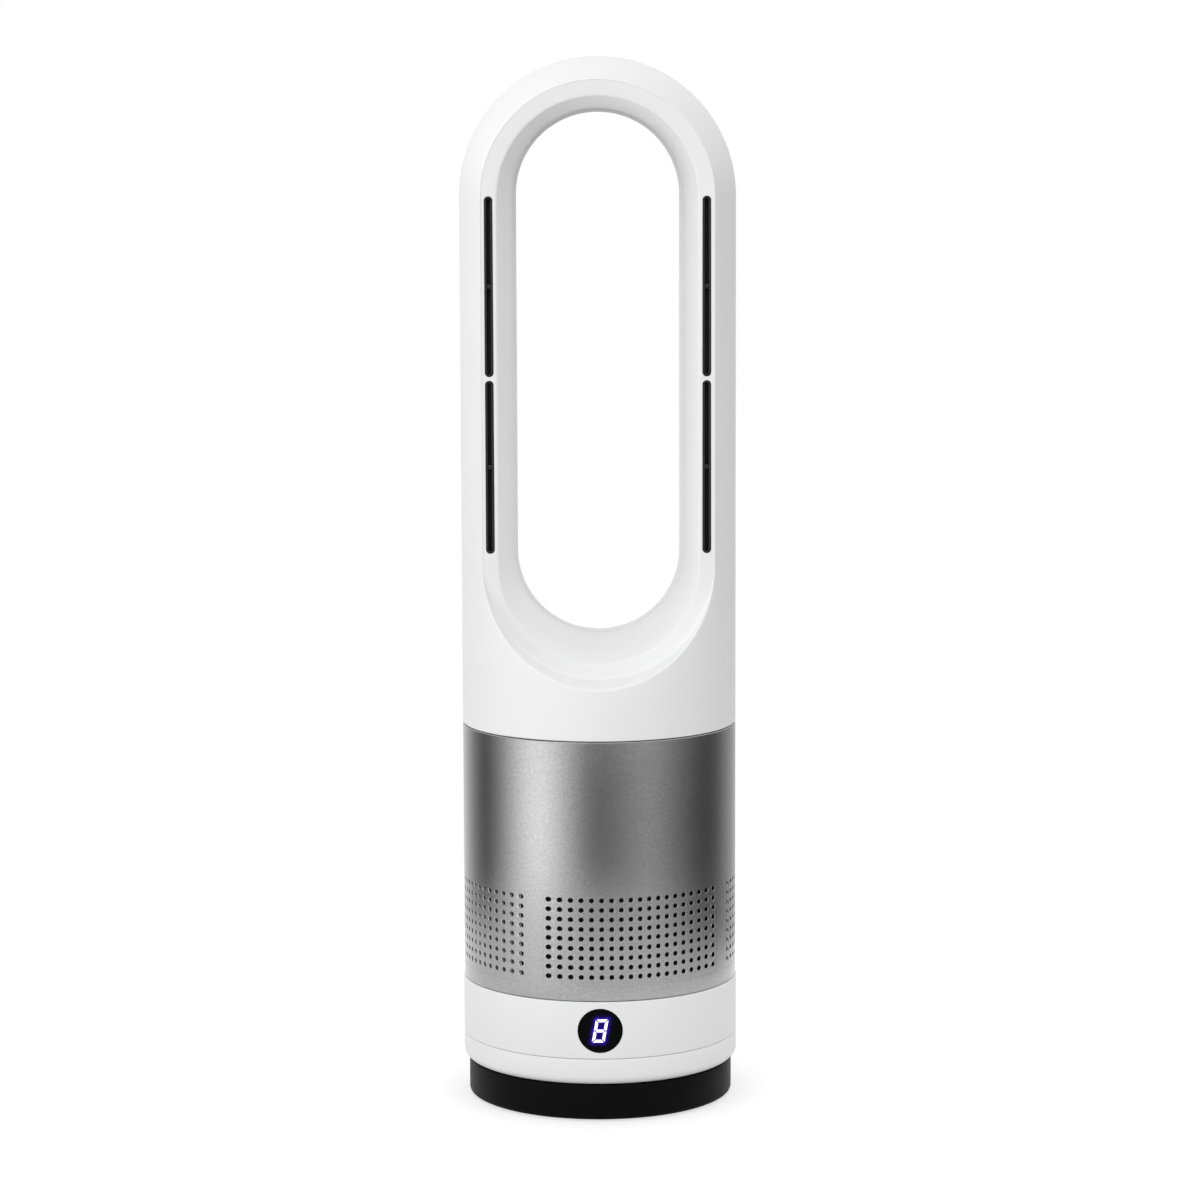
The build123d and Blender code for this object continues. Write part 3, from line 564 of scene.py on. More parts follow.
if sum(face.normal.y for face in panel.data.polygons) > 0:
    edit(panel)
    bpy.ops.mesh.select_all(action="SELECT")
    bpy.ops.mesh.flip_normals()
    leave()
apply_modifier(panel, "SOLIDIFY", thickness=SLEEVE_WALL - PANEL_SINK - HOLE_LIP, offset=-1)
print("panel faces", len(panel.data.polygons))

# %% [markdown]
# ## Wrap the panel and copy it four times
#
# A Simple Deform modifier could bend the sheet, but it would stretch the pitch at its sides. The
# real holes keep their pitch as seen from the front, so each vertex only moves back, onto its
# own cylinder. The copies are turned by quarters, each with its own mesh.

# %% Wrapped panels
QUARTER = pi / 2
for vertex in panel.data.vertices:
    depth = max(0.0, vertex.co.y)
    radius = TOWER_R - PANEL_SINK - depth
    vertex.co.y = -sqrt(radius ** 2 - vertex.co.x ** 2)
panels = [panel]
for quarter in range(1, 4):
    copied = panel.copy()
    copied.data = panel.data.copy()
    bpy.context.scene.collection.objects.link(copied)
    copied.data.transform(Matrix.Rotation(quarter * QUARTER, 4, "Z"))
    panels.append(copied)
print("panels", len(panels))

# %% [markdown]
# ## Sleeve body with four windows
#
# The body is the rest of the sleeve: rims at top and bottom and a narrow post between patches. It
# is turned like the foot, its faces inside the four windows are deleted, and the open edges of
# the outer and the inner skin are bridged, so the wall shows its thickness. The patches aren't
# square to the front, because the tower rests turned a little on its foot.

# %% Sleeve body
sleeve_low, sleeve_top = SLEEVE_LOW / MM, SLEEVE_TOP / MM
sleeve_r = TOWER_R / MM
inner_r = sleeve_r - SLEEVE_WALL / MM
window_low, window_top = (height / MM for height in WINDOW_Z)
body = turned("sleeve_body", [
    (sleeve_r, sleeve_top, 0.5), (sleeve_r, window_top, 0), (sleeve_r, window_low, 0),
    (sleeve_r, sleeve_low, 0.5), (inner_r, sleeve_low, 0), (inner_r, window_low, 0),
    (inner_r, window_top, 0), (inner_r, sleeve_top, 0)], steps=360)
print("body faces", len(body.data.polygons))

# %% Four windows
WINDOW_HALF = radians(41)
WINDOW_PLAY = 0.001     # radians
ONE_WINDOW = 0.71       # just over the cosine of 45 degrees, so one window is picked at a time
PATCH_TURN = radians(16.9)


def in_window(point):
    """True where a point is inside one of the four windows, seen from the tower axis."""
    angle = (atan2(point.y, point.x) + QUARTER) % QUARTER
    away = min(angle, QUARTER - angle)
    return away < WINDOW_HALF - WINDOW_PLAY and WINDOW_Z[0] < point.z < WINDOW_Z[1]


edit(body)
pick_faces(body, lambda centre, normal: in_window(centre))
bpy.ops.mesh.delete(type="FACE")
for quarter in range(4):
    towards = Vector((sin(quarter * QUARTER), -cos(quarter * QUARTER)))
    pick_edges(body, lambda a, b: (a + b).xy.normalized().dot(towards) > ONE_WINDOW,
               open_only=True)
    bpy.ops.mesh.bridge_edge_loops()
leave()
close_up(body)
sleeve = join([body] + panels, "punched_sleeve")
sleeve.data.transform(Matrix.Rotation(PATCH_TURN, 4, "Z"))
smooth(sleeve, 30)
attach(sleeve, "tower")
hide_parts("intake_sleeve")
print("sleeve faces", len(sleeve.data.polygons))

# %% [markdown]
# ## The loop
#
# The loop is one cross-section carried round a stadium. So the section is drawn once as a circle
# primitive whose vertices are seated on the outline, then it is spun over the top, extruded down
# both limbs, and only its inner part is spun under the bottom. There the pocket wall has to meet
# the tower's cylinder, so its rim is seated on it, and the tower's skin is extruded straight down.

# %% Sizes and rims of the loop
FACE_Y = 44.0
POCKET_R = 66.5
BORE_FRONT, BORE_REAR, LIP_R, LIP_Y = 57.0, 50.0, 48.0, 42.0
BORE_ROUND, LIP_ROUND, LIP_SIDE = 1.4, 1.2, 0.9
LOW_Z = 318.3
BEND_STEPS = 64
SIDE_STEPS = 40
CORNER_STEPS = 4
GROOVE = 0.35       # parting line where the front and rear mouldings meet
# Roundings of the step round the face: the least one, what is added, and the height for it all.
SOFT_LEAST, SOFT_MORE, SOFT_HEIGHT = 0.5, 2.2, 10
EDGE_LEAST, EDGE_MORE, EDGE_HEIGHT = 0.7, 0.8, 6
loop_r = TOWER_R / MM


def arc_between(start, corner, end, steps=CORNER_STEPS):
    """Soft corner: points of a quadratic curve from start to end, pulled to the corner."""
    points = []
    for step in range(steps + 1):
        t = step / steps
        points.append(tuple((1 - t) ** 2 * a + 2 * t * (1 - t) * b + t * t * c
                            for a, b, c in zip(start, corner, end)))
    return points


def rim(angle):
    """Face-to-wall corner and wall-to-skin corner at an angle round the pocket, as (r, depth)."""
    out = cos(angle)
    wall_top = sqrt(loop_r ** 2 - (POCKET_R * out) ** 2)
    height = wall_top - FACE_Y
    soft = SOFT_LEAST + SOFT_MORE * min(1.0, height / SOFT_HEIGHT)
    edge = EDGE_LEAST + EDGE_MORE * min(1.0, height / EDGE_HEIGHT)
    end_r = POCKET_R + edge
    low = arc_between((POCKET_R - soft, FACE_Y), (POCKET_R, FACE_Y),
                      (POCKET_R, FACE_Y + min(soft, 0.4 * height)))
    crest = arc_between((POCKET_R, wall_top - min(edge, 0.45 * height)), (POCKET_R, wall_top),
                        (end_r, sqrt(loop_r ** 2 - (end_r * out) ** 2)))
    return low + crest


print("points in a rim", len(rim(0)))

# %% Section of the loop
def loop_section():
    """Closed (r, y) outline of a limb: bore, front face, rim, skin, rim, rear face and lip."""
    slope = (BORE_REAR - BORE_FRONT) / (LIP_Y + FACE_Y)
    front = arc_between((BORE_FRONT + BORE_ROUND * slope, BORE_ROUND - FACE_Y),
                        (BORE_FRONT, -FACE_Y), (BORE_FRONT + BORE_ROUND, -FACE_Y))
    front_rim = [(r, -depth) for r, depth in rim(0)]
    rear_rim = [(r, depth) for r, depth in reversed(rim(0))]
    first = atan2(front_rim[-1][1], front_rim[-1][0])
    skin = []
    for step in range(1, SIDE_STEPS):
        angle = first * (1 - 2 * step / SIDE_STEPS)
        if step == SIDE_STEPS // 2:
            for y, sink in ((-1, 0), (-0.45, 1), (0.45, 1), (1, 0)):
                skin.append((loop_r - sink * GROOVE, y * GROOVE))
        else:
            skin.append((loop_r * cos(angle), loop_r * sin(angle)))
    lip = arc_between((LIP_R + LIP_ROUND, FACE_Y), (LIP_R, FACE_Y), (LIP_R, FACE_Y - LIP_SIDE), 3)
    return front + front_rim + skin + rear_rim + lip + [(LIP_R, LIP_Y), (BORE_REAR, LIP_Y)]


section = loop_section()
print("section points", len(section))

# %% [markdown]
# ## Carry the section round the loop
#
# The section starts at the foot of the right limb. Extrude raises it to the arch's centre, spin
# carries it half a turn over the top, and extrude takes it down the left limb. A curve with a
# bevel could follow the same path, but spin keeps each row of vertices exactly on its circle.

# %% Spin and extrude the section
low_z = LOW_Z * MM
arch_rise = ARCH_Z - low_z
loop = from_outline("loop_skin", [(r * MM, y * MM, low_z) for r, y in section])
edit(loop)
bpy.ops.mesh.select_all(action="SELECT")
extrude(0, 0, arch_rise)
bpy.ops.mesh.spin(steps=BEND_STEPS, angle=pi, center=(0, 0, ARCH_Z), axis=(0, 1, 0))
extrude(0, 0, -arch_rise)
leave()
foot_count = sum(abs(vertex.co.z - low_z) < NEAR for vertex in loop.data.vertices)
print("vertices at the ends of the limbs", foot_count)

# %% [markdown]
# ## Carry the inner part under the bottom
#
# Under the opening only the bore, the faces and their rims go on round. The step from the face up
# to the tower's round skin grows towards the bottom, where the skin stands furthest forward. So
# the rim's points are worked out again at each angle and the spun vertices are put on them.

# %% Bottom of the opening
inner_limit = rim(0)[-1][0] * MM


def on_inner_part(point):
    """The bore, faces and rims of the section at the foot of the right limb."""
    return abs(point.z - low_z) < NEAR and 0 < point.x < inner_limit + NEAR


edit(loop)
pick_vertices(loop, on_inner_part)
bpy.ops.mesh.spin(steps=BEND_STEPS, angle=-pi, center=(0, 0, low_z), axis=(0, 1, 0))
leave()
rest_rim = [(r * MM, depth * MM) for r, depth in rim(0)]
moved = 0
for vertex in loop.data.vertices:
    if vertex.co.z > low_z - NEAR:
        continue
    across, up = vertex.co.x, vertex.co.z - low_z
    angle = atan2(up, across)
    reach = hypot(across, up)
    for number, (r, depth) in enumerate(rest_rim):
        if abs(reach - r) < 2 * NEAR and abs(abs(vertex.co.y) - depth) < 2 * NEAR:
            new_r, new_depth = (size * MM for size in rim(angle)[number])
            side = 1 if vertex.co.y > 0 else -1
            vertex.co = (new_r * cos(angle), side * new_depth, low_z + new_r * sin(angle))
            moved += 1
            break
close_up(loop, 2 * NEAR)
print("rim vertices moved", moved)

# %% [markdown]
# ## Drop the skin of the tower to the sleeve
#
# What is open now is the outline where the rims meet the skin. Its edges are extruded straight
# down to one height, which makes the tower's upper cylinder without a seam, and once more with a
# slight taper for the soft lower edge. A last face closes the bottom.

# %% Skin of the tower
EDGE_ROUND = 0.5 * MM
edit(loop)
pick_edges(loop, lambda a, b: True, open_only=True)
for height, shrink in ((LOOP_LOW + EDGE_ROUND, 1.0), (LOOP_LOW, 1 - EDGE_ROUND / TOWER_R)):
    extrude(0, 0, -MM)
    mesh = bmesh.from_edit_mesh(loop.data)
    for vertex in mesh.verts:
        if vertex.select:
            vertex.co = (vertex.co.x * shrink, vertex.co.y * shrink, height)
    bmesh.update_edit_mesh(loop.data)
bpy.ops.mesh.edge_face_add()
leave()
close_up(loop)
edit(loop)
pick_edges(loop, lambda a, b: True, open_only=True)
leave()
print("open edges in the loop", sum(edge.select for edge in loop.data.edges))

# %% [markdown]
# ## Air slots and screw wells
#
# Each limb's front face has two slots with round ends, and the rear face has wells for the screws
# that hold the two mouldings together. They are cut with Booleans, which does no harm here,
# because the faces are flat. A slot's cutter is a circle pulled apart and extruded.

# %% Cut the slots
SLOTS = ["nozzle_left_lower", "nozzle_left_upper", "nozzle_right_lower", "nozzle_right_upper"]
SLOT_PLAY = 0.06 * MM
SLOT_START = 4 * MM
SLOT_DEPTH = 20 * MM


def upright_slot(name, x, z_low, z_high, half_width, y, depth):
    """Solid with the outline of an upright slot, from a circle pulled apart and extruded."""
    slot = upright_disc(half_width, 24)
    slot.name = slot.data.name = name
    stretch = (z_high - z_low) / 2 - half_width
    for vertex in slot.data.vertices:
        shift = stretch if vertex.co.z > 0 else -stretch
        vertex.co += Vector((x, y, (z_low + z_high) / 2 + shift))
    edit(slot)
    bpy.ops.mesh.select_all(action="SELECT")
    extrude(0, depth, 0)
    face_outwards()
    leave()
    return slot


for node in SLOTS:
    low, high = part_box(node)
    half = (high.x - low.x) / 2 + SLOT_PLAY
    cut(loop, upright_slot("slot_cut", (low.x + high.x) / 2, low.z - SLOT_PLAY,
                           high.z + SLOT_PLAY, half, low.y - SLOT_START, SLOT_DEPTH))
print("slots cut", len(SLOTS))

# %% Cut the screw wells
HEAD_R = 2.7 * MM
WELL_R = 3.1 * MM
WELL_FLOOR, WELL_MOUTH = 36 * MM, 50 * MM
MIDDLE_UP = 3 * MM      # the middle pair sits this much above half way
screw_low, screw_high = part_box("shell_screws")
screw_x = screw_high.x - HEAD_R
screw_rows = [screw_low.z + HEAD_R, (screw_low.z + screw_high.z) / 2 + MIDDLE_UP,
              screw_high.z - HEAD_R]
for x in (-screw_x, screw_x):
    for z in screw_rows:
        cut(loop, cylinder("well_cut", WELL_R, (x, WELL_FLOOR, z), (x, WELL_MOUTH, z), 32))
smooth(loop, 24)
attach(loop, "tower")
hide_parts("loop_front_shell", "loop_rear_shell")
print("loop faces", len(loop.data.polygons))

# %% [markdown]
# ## Nozzle frames
#
# A black frame lines each slot: a rounded lip, a gap of about 2 mm where the air leaves, and a
# small bar half way that keeps the gap from spreading. The frame could be cut with a Boolean too,
# but inset and extrude keep its lip even all round, so one bevel can soften all of it.

# %% Nozzle frames
NOZZLE_GAP = 2.3 * MM
NOZZLE_BACK = 0.6 * MM
NOZZLE_ROUND = 0.3 * MM
BRIDGE = 2.5 * MM
BRIDGE_BITE = 0.4 * MM      # the bar goes this far into the sides of the gap, both taken together


def nozzle(node):
    """Black frame of one slot: rounded lip, deep narrow gap and a bar half way up."""
    low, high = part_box(node)
    x, half, deep = (low.x + high.x) / 2, (high.x - low.x) / 2, high.y - low.y
    lining = upright_slot(node + "_frame", x, low.z, high.z, half, low.y, deep)
    edit(lining)
    pick_faces(lining, lambda centre, normal: normal.y < -0.9)
    bpy.ops.mesh.inset(thickness=half - NOZZLE_GAP / 2)
    extrude(0, deep - NOZZLE_BACK, 0)
    pick_edges(lining, lambda a, b: abs(a.y - low.y) < NEAR and abs(b.y - low.y) < NEAR)
    bpy.ops.mesh.bevel(offset=NOZZLE_ROUND, segments=2)
    leave()
    bpy.ops.mesh.primitive_cube_add(size=1)
    bar = bpy.context.object
    size = (NOZZLE_GAP + BRIDGE_BITE, deep - 2 * NOZZLE_BACK, BRIDGE, 1)
    middle = (x, (low.y + high.y + NOZZLE_BACK) / 2, (low.z + high.z) / 2)
    bar.data.transform(Matrix.Translation(middle) @ Matrix.Diagonal(size))
    edit(bar)
    bpy.ops.mesh.select_all(action="SELECT")
    bpy.ops.mesh.bevel(offset=NOZZLE_ROUND, segments=2)
    leave()
    lining = join([lining, bar], node + "_frame")
    smooth(lining, 35)
    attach(lining, "tower")
    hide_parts(node)
    return lining


nozzles = [nozzle(node) for node in SLOTS]
print("frame faces", [len(piece.data.polygons) for piece in nozzles])

# %% [markdown]
# ## Finishes
#
# Every finish starts as one Principled shader with the values that its real material has. `add`
# puts in any node with its settings and inputs, `feed` sets or links the inputs of a node, and
# `linear` turns a colour code to linear light. Patterns read Object coordinates, so they stay
# fixed to the part, and their scale is worked out from a size in millimetres.

# %% Helpers for finishes
def linear(code):
    """Linear RGBA of an sRGB colour such as F2F2F0."""
    parts = [int(code[start:start + 2], 16) / 255 for start in (0, 2, 4)]
    return [part / 12.92 if part <= 0.04045 else ((part + 0.055) / 1.055) ** 2.4
            for part in parts] + [1.0]


def feed(tree, node, inputs):
    """Sets a node's inputs; an input that is given another node's output is linked to it."""
    for name, value in inputs.items():
        if isinstance(value, bpy.types.NodeSocket):
            tree.links.new(value, node.inputs[name])
        else:
            node.inputs[name].default_value = value


def add(tree, kind, inputs=None, **settings):
    """Adds a node with its settings and its inputs."""
    node = tree.nodes.new(kind)
    for name, value in settings.items():
        setattr(node, name, value)
    feed(tree, node, inputs or {})
    return node


def finish(slot, name, code, inputs):
    """Material for one slot of the record, as (tree, shader, Object coordinates)."""
    material = bpy.data.materials.new(name)
    material.use_nodes = True
    tree = material.node_tree
    tree.nodes.clear()
    shader = add(tree, "ShaderNodeBsdfPrincipled", {"Base Color": linear(code), **inputs})
    add(tree, "ShaderNodeOutputMaterial", {"Surface": shader.outputs["BSDF"]})
    place = add(tree, "ShaderNodeTexCoord").outputs["Object"]
    material.diffuse_color = linear(code)
    finishes[slot] = material
    return tree, shader, place


finishes = {}
CORE = {"From Min": 0.3, "From Max": 0.7}      # where most of a noise texture's values lie

# %% [markdown]
# ## White casings: moulded ABS
#
# The white casings are ABS from a finely polished mould. They have a soft sheen, not a mirror
# gloss. Three noise textures make them: a faint orange-peel waviness 1.6 mm across as bump,
# patches of 9 mm that differ a little in gloss, and clouds of 40 mm that differ a hair in tone.

# %% White ABS
# To the eye: clean, even white whose highlights are broad and end softly.
tree, shader, place = finish("white_shell", "satin_white_abs", "F0F0F0",
                             {"Specular IOR Level": 0.3})
peel = add(tree, "ShaderNodeTexNoise", {"Vector": place, "Scale": 1 / (1.6 * MM)})
waves = add(tree, "ShaderNodeBump", {"Height": peel.outputs["Fac"], "Distance": 0.006 * MM})
patches = add(tree, "ShaderNodeTexNoise", {"Vector": place, "Scale": 1 / (9.0 * MM)})
gloss = add(tree, "ShaderNodeMapRange", {"Value": patches.outputs["Fac"], **CORE,
                                         "To Min": 0.42, "To Max": 0.48})
clouds = add(tree, "ShaderNodeTexNoise", {"Vector": place, "Scale": 1 / (40.0 * MM)})
tone = add(tree, "ShaderNodeMix", {"Factor": clouds.outputs["Fac"], "A": linear("EEEEEE"),
                                   "B": linear("F1F1F1")}, data_type="RGBA")
feed(tree, shader, {"Normal": waves.outputs["Normal"], "Roughness": gloss.outputs["Result"],
                    "Base Color": tone.outputs["Result"]})
print("white casings:", finishes["white_shell"].name)

# %% [markdown]
# ## The sleeve: metallic lacquer
#
# A metallic lacquer is aluminium flake in grey binder under a clear coat. It mirrors the studio
# as dark and bright upright bands, softly, because the flakes lie at slightly different angles.
# The flakes are cells of a Voronoi texture: each has its own tone and a slight bump.

# %% Grey lacquer
# To the eye: silver-grey that changes from dark to bright as it turns, with a fine sparkle.
FLAKE = 0.5 * MM        # real flakes are about 0.05 mm, too fine to show, so these are coarser
tree, shader, place = finish("sleeve_lacquer", "metallic_grey_lacquer", "A2A2A2",
                             {"Metallic": 0.92, "Coat Weight": 0.25, "Coat Roughness": 0.2})
flake = add(tree, "ShaderNodeTexVoronoi", {"Vector": place, "Scale": 1 / FLAKE})
waves = add(tree, "ShaderNodeBump", {"Height": flake.outputs["Distance"],
                                     "Distance": 0.0016 * MM, "Strength": 0.5})
chance = add(tree, "ShaderNodeSeparateColor", {"Color": flake.outputs["Color"]})
tone = add(tree, "ShaderNodeMix", {"Factor": chance.outputs["Red"], "A": linear("9A9A9A"),
                                   "B": linear("AEAEAE")}, data_type="RGBA")
patches = add(tree, "ShaderNodeTexNoise", {"Vector": place, "Scale": 1 / (30.0 * MM)})
gloss = add(tree, "ShaderNodeMapRange", {"Value": patches.outputs["Fac"], **CORE,
                                         "To Min": 0.22, "To Max": 0.24})
feed(tree, shader, {"Normal": waves.outputs["Normal"], "Roughness": gloss.outputs["Result"],
                    "Base Color": tone.outputs["Result"]})
print("sleeve:", finishes["sleeve_lacquer"].name)

# %% [markdown]
# ## Grained plastics, rubber and cable
#
# All dark mouldings are made the same way: the mould's spark-eroded or ground surface leaves a
# fine grain, and handling leaves patches that differ in gloss. So one loop makes them from a
# table, with a noise texture for the grain as bump and a larger one for the gloss. The foot's
# low specular level is what keeps it matt and nearly black beside the white ring.

# %% Grained plastics
MATT = {"Specular IOR Level": 0.05}
INNER = {"IOR": 1.5}
GRAINED = [
    # slot, finish, colour, other inputs, grain in mm, its detail, depth and strength,
    # gloss patches in mm, and the lowest and highest roughness
    # matt and almost without highlights
    ("black_foot", "grained_black_abs", "080809", MATT, 0.8, 3, 0.02, 0.6, 5, 0.38, 0.46),
    # dark grey edges with a narrow soft highlight
    ("nozzle_black", "black_nylon", "141414", {"IOR": 1.53}, 0.6, 2, 0.01, 0.5, 4, 0.36, 0.46),
    # plain charcoal
    ("inner_plastic", "black_moulded_abs", "1F1F21", INNER, 0.9, 3, 0.02, 0.6, 6, 0.45, 0.55),
    # slate grey with a coarse, dry grain from the glass
    ("fan_plastic", "glass_filled_nylon", "3A3C3F", INNER, 0.5, 3, 0.03, 0.6, 6, 0.45, 0.55),
    # waxy ivory, the smoothest of them
    ("slide_plastic", "natural_acetal", "EDEAE0", INNER, 1.2, 3, 0.005, 0.6, 6, 0.3, 0.4),
    # small black blocks with a low sheen
    ("board_black", "epoxy_component_bodies", "1C1C1D", INNER, 0.6, 3, 0.01, 0.6, 6, 0.4, 0.5),
    # dull, with no clear highlight
    ("rubber", "moulded_rubber", "202021", INNER, 1.0, 3, 0.03, 0.6, 6, 0.7, 0.8),
    # soft sheen along the cable
    ("cable_pvc", "black_pvc_jacket", "19191A", INNER, 1.5, 3, 0.01, 0.6, 6, 0.4, 0.5),
    # dark grey and stony
    ("magnet", "bonded_ferrite", "2E2E31", INNER, 0.7, 3, 0.03, 0.6, 6, 0.55, 0.65),
]
for slot, name, code, inputs, size, detail, depth, strength, patch_size, low, high in GRAINED:
    tree, shader, place = finish(slot, name, code, inputs)
    grain = add(tree, "ShaderNodeTexNoise", {"Vector": place, "Scale": 1 / (size * MM),
                                             "Detail": detail})
    waves = add(tree, "ShaderNodeBump", {"Height": grain.outputs["Fac"], "Distance": depth * MM,
                                         "Strength": strength})
    patches = add(tree, "ShaderNodeTexNoise", {"Vector": place, "Scale": 1 / (patch_size * MM)})
    gloss = add(tree, "ShaderNodeMapRange", {"Value": patches.outputs["Fac"], **CORE,
                                             "To Min": low, "To Max": high})
    feed(tree, shader, {"Normal": waves.outputs["Normal"], "Roughness": gloss.outputs["Result"]})
print("grained finishes", len(GRAINED))

# %% [markdown]
# ## Window and lit figure
#
# The window is polished acrylic, as dark as glass over a black mask, with patches of fingertip
# gloss. Its violet halo is the attribute painted on its mesh, mixed from black into violet and
# given to Emission. The figure is a frosted light guide, lit almost evenly, so it needs only a
# trace of noise between two near-whites.

# %% Black acrylic
# To the eye: a deep black disc with a violet bloom round the figure.
tree, shader, place = finish("lens_black", "polished_black_acrylic", "030304",
                             {"Specular IOR Level": 0.04})
patches = add(tree, "ShaderNodeTexNoise", {"Vector": place, "Scale": 1 / (6.0 * MM)})
gloss = add(tree, "ShaderNodeMapRange", {"Value": patches.outputs["Fac"], **CORE,
                                         "To Min": 0.05, "To Max": 0.09})
halo = add(tree, "ShaderNodeAttribute", attribute_name="glow")
violet = add(tree, "ShaderNodeMix", {"Factor": halo.outputs["Fac"], "A": linear("000000"),
                                     "B": linear("3014A0")}, data_type="RGBA")
feed(tree, shader, {"Roughness": gloss.outputs["Result"], "Emission Strength": 1.0,
                    "Emission Color": violet.outputs["Result"]})

# %% Lit light guide
# To the eye: cool white bars, bright all over.
tree, shader, place = finish("digit_light", "lit_frosted_light_guide", "E8E8FF",
                             {"Roughness": 0.35, "IOR": 1.49, "Emission Strength": 0.9})
frost = add(tree, "ShaderNodeTexNoise", {"Vector": place, "Scale": 1 / (2.0 * MM)})
shine = add(tree, "ShaderNodeMix", {"Factor": frost.outputs["Fac"], "A": linear("E4E0FF"),
                                    "B": linear("FFFFFF")}, data_type="RGBA")
feed(tree, shader, {"Emission Color": shine.outputs["Result"]})
print("display:", finishes["lens_black"].name, "and", finishes["digit_light"].name)

# %% [markdown]
# ## Metals
#
# The metal parts are inside, and are seen when the fan is taken apart. Plating, casting and
# enamel all leave patches a millimetre or two across that differ in tone, height and gloss, so
# one noise texture drives both colour and bump. A metal keeps the shader's default IOR.

# %% Metals
METALS = [
    # slot, finish, dark and light colour, lowest and highest roughness, patches in mm
    # bluish grey with a soft shine
    ("steel", "zinc_plated_steel", "A9ABAC", "BFC1C2", 0.26, 0.38, 2.5),
    # dark and dull, like a stove plate
    ("ballast_iron", "raw_cast_iron", "47474A", "5C5C5E", 0.56, 0.68, 1.2),
    # pale silver, a little cloudy
    ("motor_metal", "die_cast_aluminium", "AFB0B2", "C4C5C7", 0.32, 0.44, 1.5),
    # warm red-brown with bright edges
    ("copper", "enamelled_copper_wire", "A4552C", "C4713F", 0.24, 0.36, 0.6),
    # yellow and fairly bright
    ("contact_brass", "turned_brass", "B58E45", "CFA85C", 0.22, 0.34, 1.0),
]
for slot, name, dark, light, low, high, size in METALS:
    tree, shader, place = finish(slot, name, dark, {"Metallic": 1.0})
    patch = add(tree, "ShaderNodeTexNoise", {"Vector": place, "Scale": 1 / (size * MM),
                                             "Detail": 4.0})
    tone = add(tree, "ShaderNodeMix", {"Factor": patch.outputs["Fac"], "A": linear(dark),
                                       "B": linear(light)}, data_type="RGBA")
    waves = add(tree, "ShaderNodeBump", {"Height": patch.outputs["Fac"], "Distance": 0.01 * MM,
                                         "Strength": 0.5})
    smears = add(tree, "ShaderNodeTexNoise", {"Vector": place, "Scale": 1 / (4.0 * MM)})
    gloss = add(tree, "ShaderNodeMapRange", {"Value": smears.outputs["Fac"], **CORE,
                                             "To Min": low, "To Max": high})
    feed(tree, shader, {"Base Color": tone.outputs["Result"], "Roughness": gloss.outputs["Result"],
                        "Normal": waves.outputs["Normal"]})
print("metal finishes", len(METALS))

# %% [markdown]
# ## Circuit board and filter mesh
#
# A circuit board is glass cloth in epoxy with copper tracks under a green mask. A Brick texture
# gives straight lines a few millimetres apart that stand a little proud, which is enough for a
# part this deep inside. The filter is black knitted mesh, drawn as dark pits 1.4 mm apart.

# %% Circuit board
# To the eye: satin green with lighter lines.
TRACK_PITCH = 12 * MM
tree, shader, place = finish("board_green", "solder_masked_glass_epoxy", "1E5A38",
                             {"Roughness": 0.35, "IOR": 1.5})
tracks = add(tree, "ShaderNodeTexBrick", {
    "Vector": place, "Scale": 1 / TRACK_PITCH, "Mortar Size": 0.06, "Color1": linear("1C5535"),
    "Color2": linear("1F5E3A"), "Mortar": linear("2B7A4C")})
waves = add(tree, "ShaderNodeBump", {"Height": tracks.outputs["Fac"], "Distance": 0.03 * MM,
                                     "Strength": 0.5})
feed(tree, shader, {"Base Color": tracks.outputs["Color"], "Normal": waves.outputs["Normal"]})

# %% Filter mesh
# To the eye: soft black that swallows the light behind the holes.
MESH_PITCH = 1.4 * MM
tree, shader, place = finish("filter_mesh", "black_filter_mesh", "0B0B0C",
                             {"Roughness": 0.85, "IOR": 1.5})
threads = add(tree, "ShaderNodeTexVoronoi", {"Vector": place, "Scale": 1 / MESH_PITCH})
tone = add(tree, "ShaderNodeMix", {"Factor": threads.outputs["Distance"], "A": linear("1A1A1B"),
                                   "B": linear("050506")}, data_type="RGBA")
waves = add(tree, "ShaderNodeBump", {"Height": threads.outputs["Distance"], "Distance": 0.3 * MM,
                                     "Strength": 0.8})
feed(tree, shader, {"Base Color": tone.outputs["Result"], "Normal": waves.outputs["Normal"]})
print("finishes", len(finishes))

# %% [markdown]
# ## Give every piece its finish
#
# A CAD node comes with one material slot named in the record, and the new skins were given the
# same slot names. So one loop can dress everything, and nothing is left with a plain colour.

# %% Dress the parts
SKINS = [(foot, "black_foot"), (table, "white_shell"), (ring, "white_shell"), (lens, "lens_black"),
         (figure, "digit_light"), (sleeve, "sleeve_lacquer"), (loop, "white_shell")]
SKINS += [(piece, "nozzle_black") for piece in nozzles]
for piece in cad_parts.values():
    for material_slot in piece.material_slots:
        material_slot.material = finishes[material_slot.material.name.split(".")[0]]
for piece, slot in SKINS:
    piece.data.materials.clear()
    piece.data.materials.append(finishes[slot])
print("dressed", len(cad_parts), "nodes and", len(SKINS), "skins")

# %% [markdown]
# ## Floor
#
# The fan stands on a round pale floor, plain and nearly white, so it fades into the bright
# background and only a soft contact shadow says where the foot stands. A floor lit that brightly
# would also light the casings from below. So it shines a little by itself for the eye and for
# reflections, and not for the soft light that it sends back.

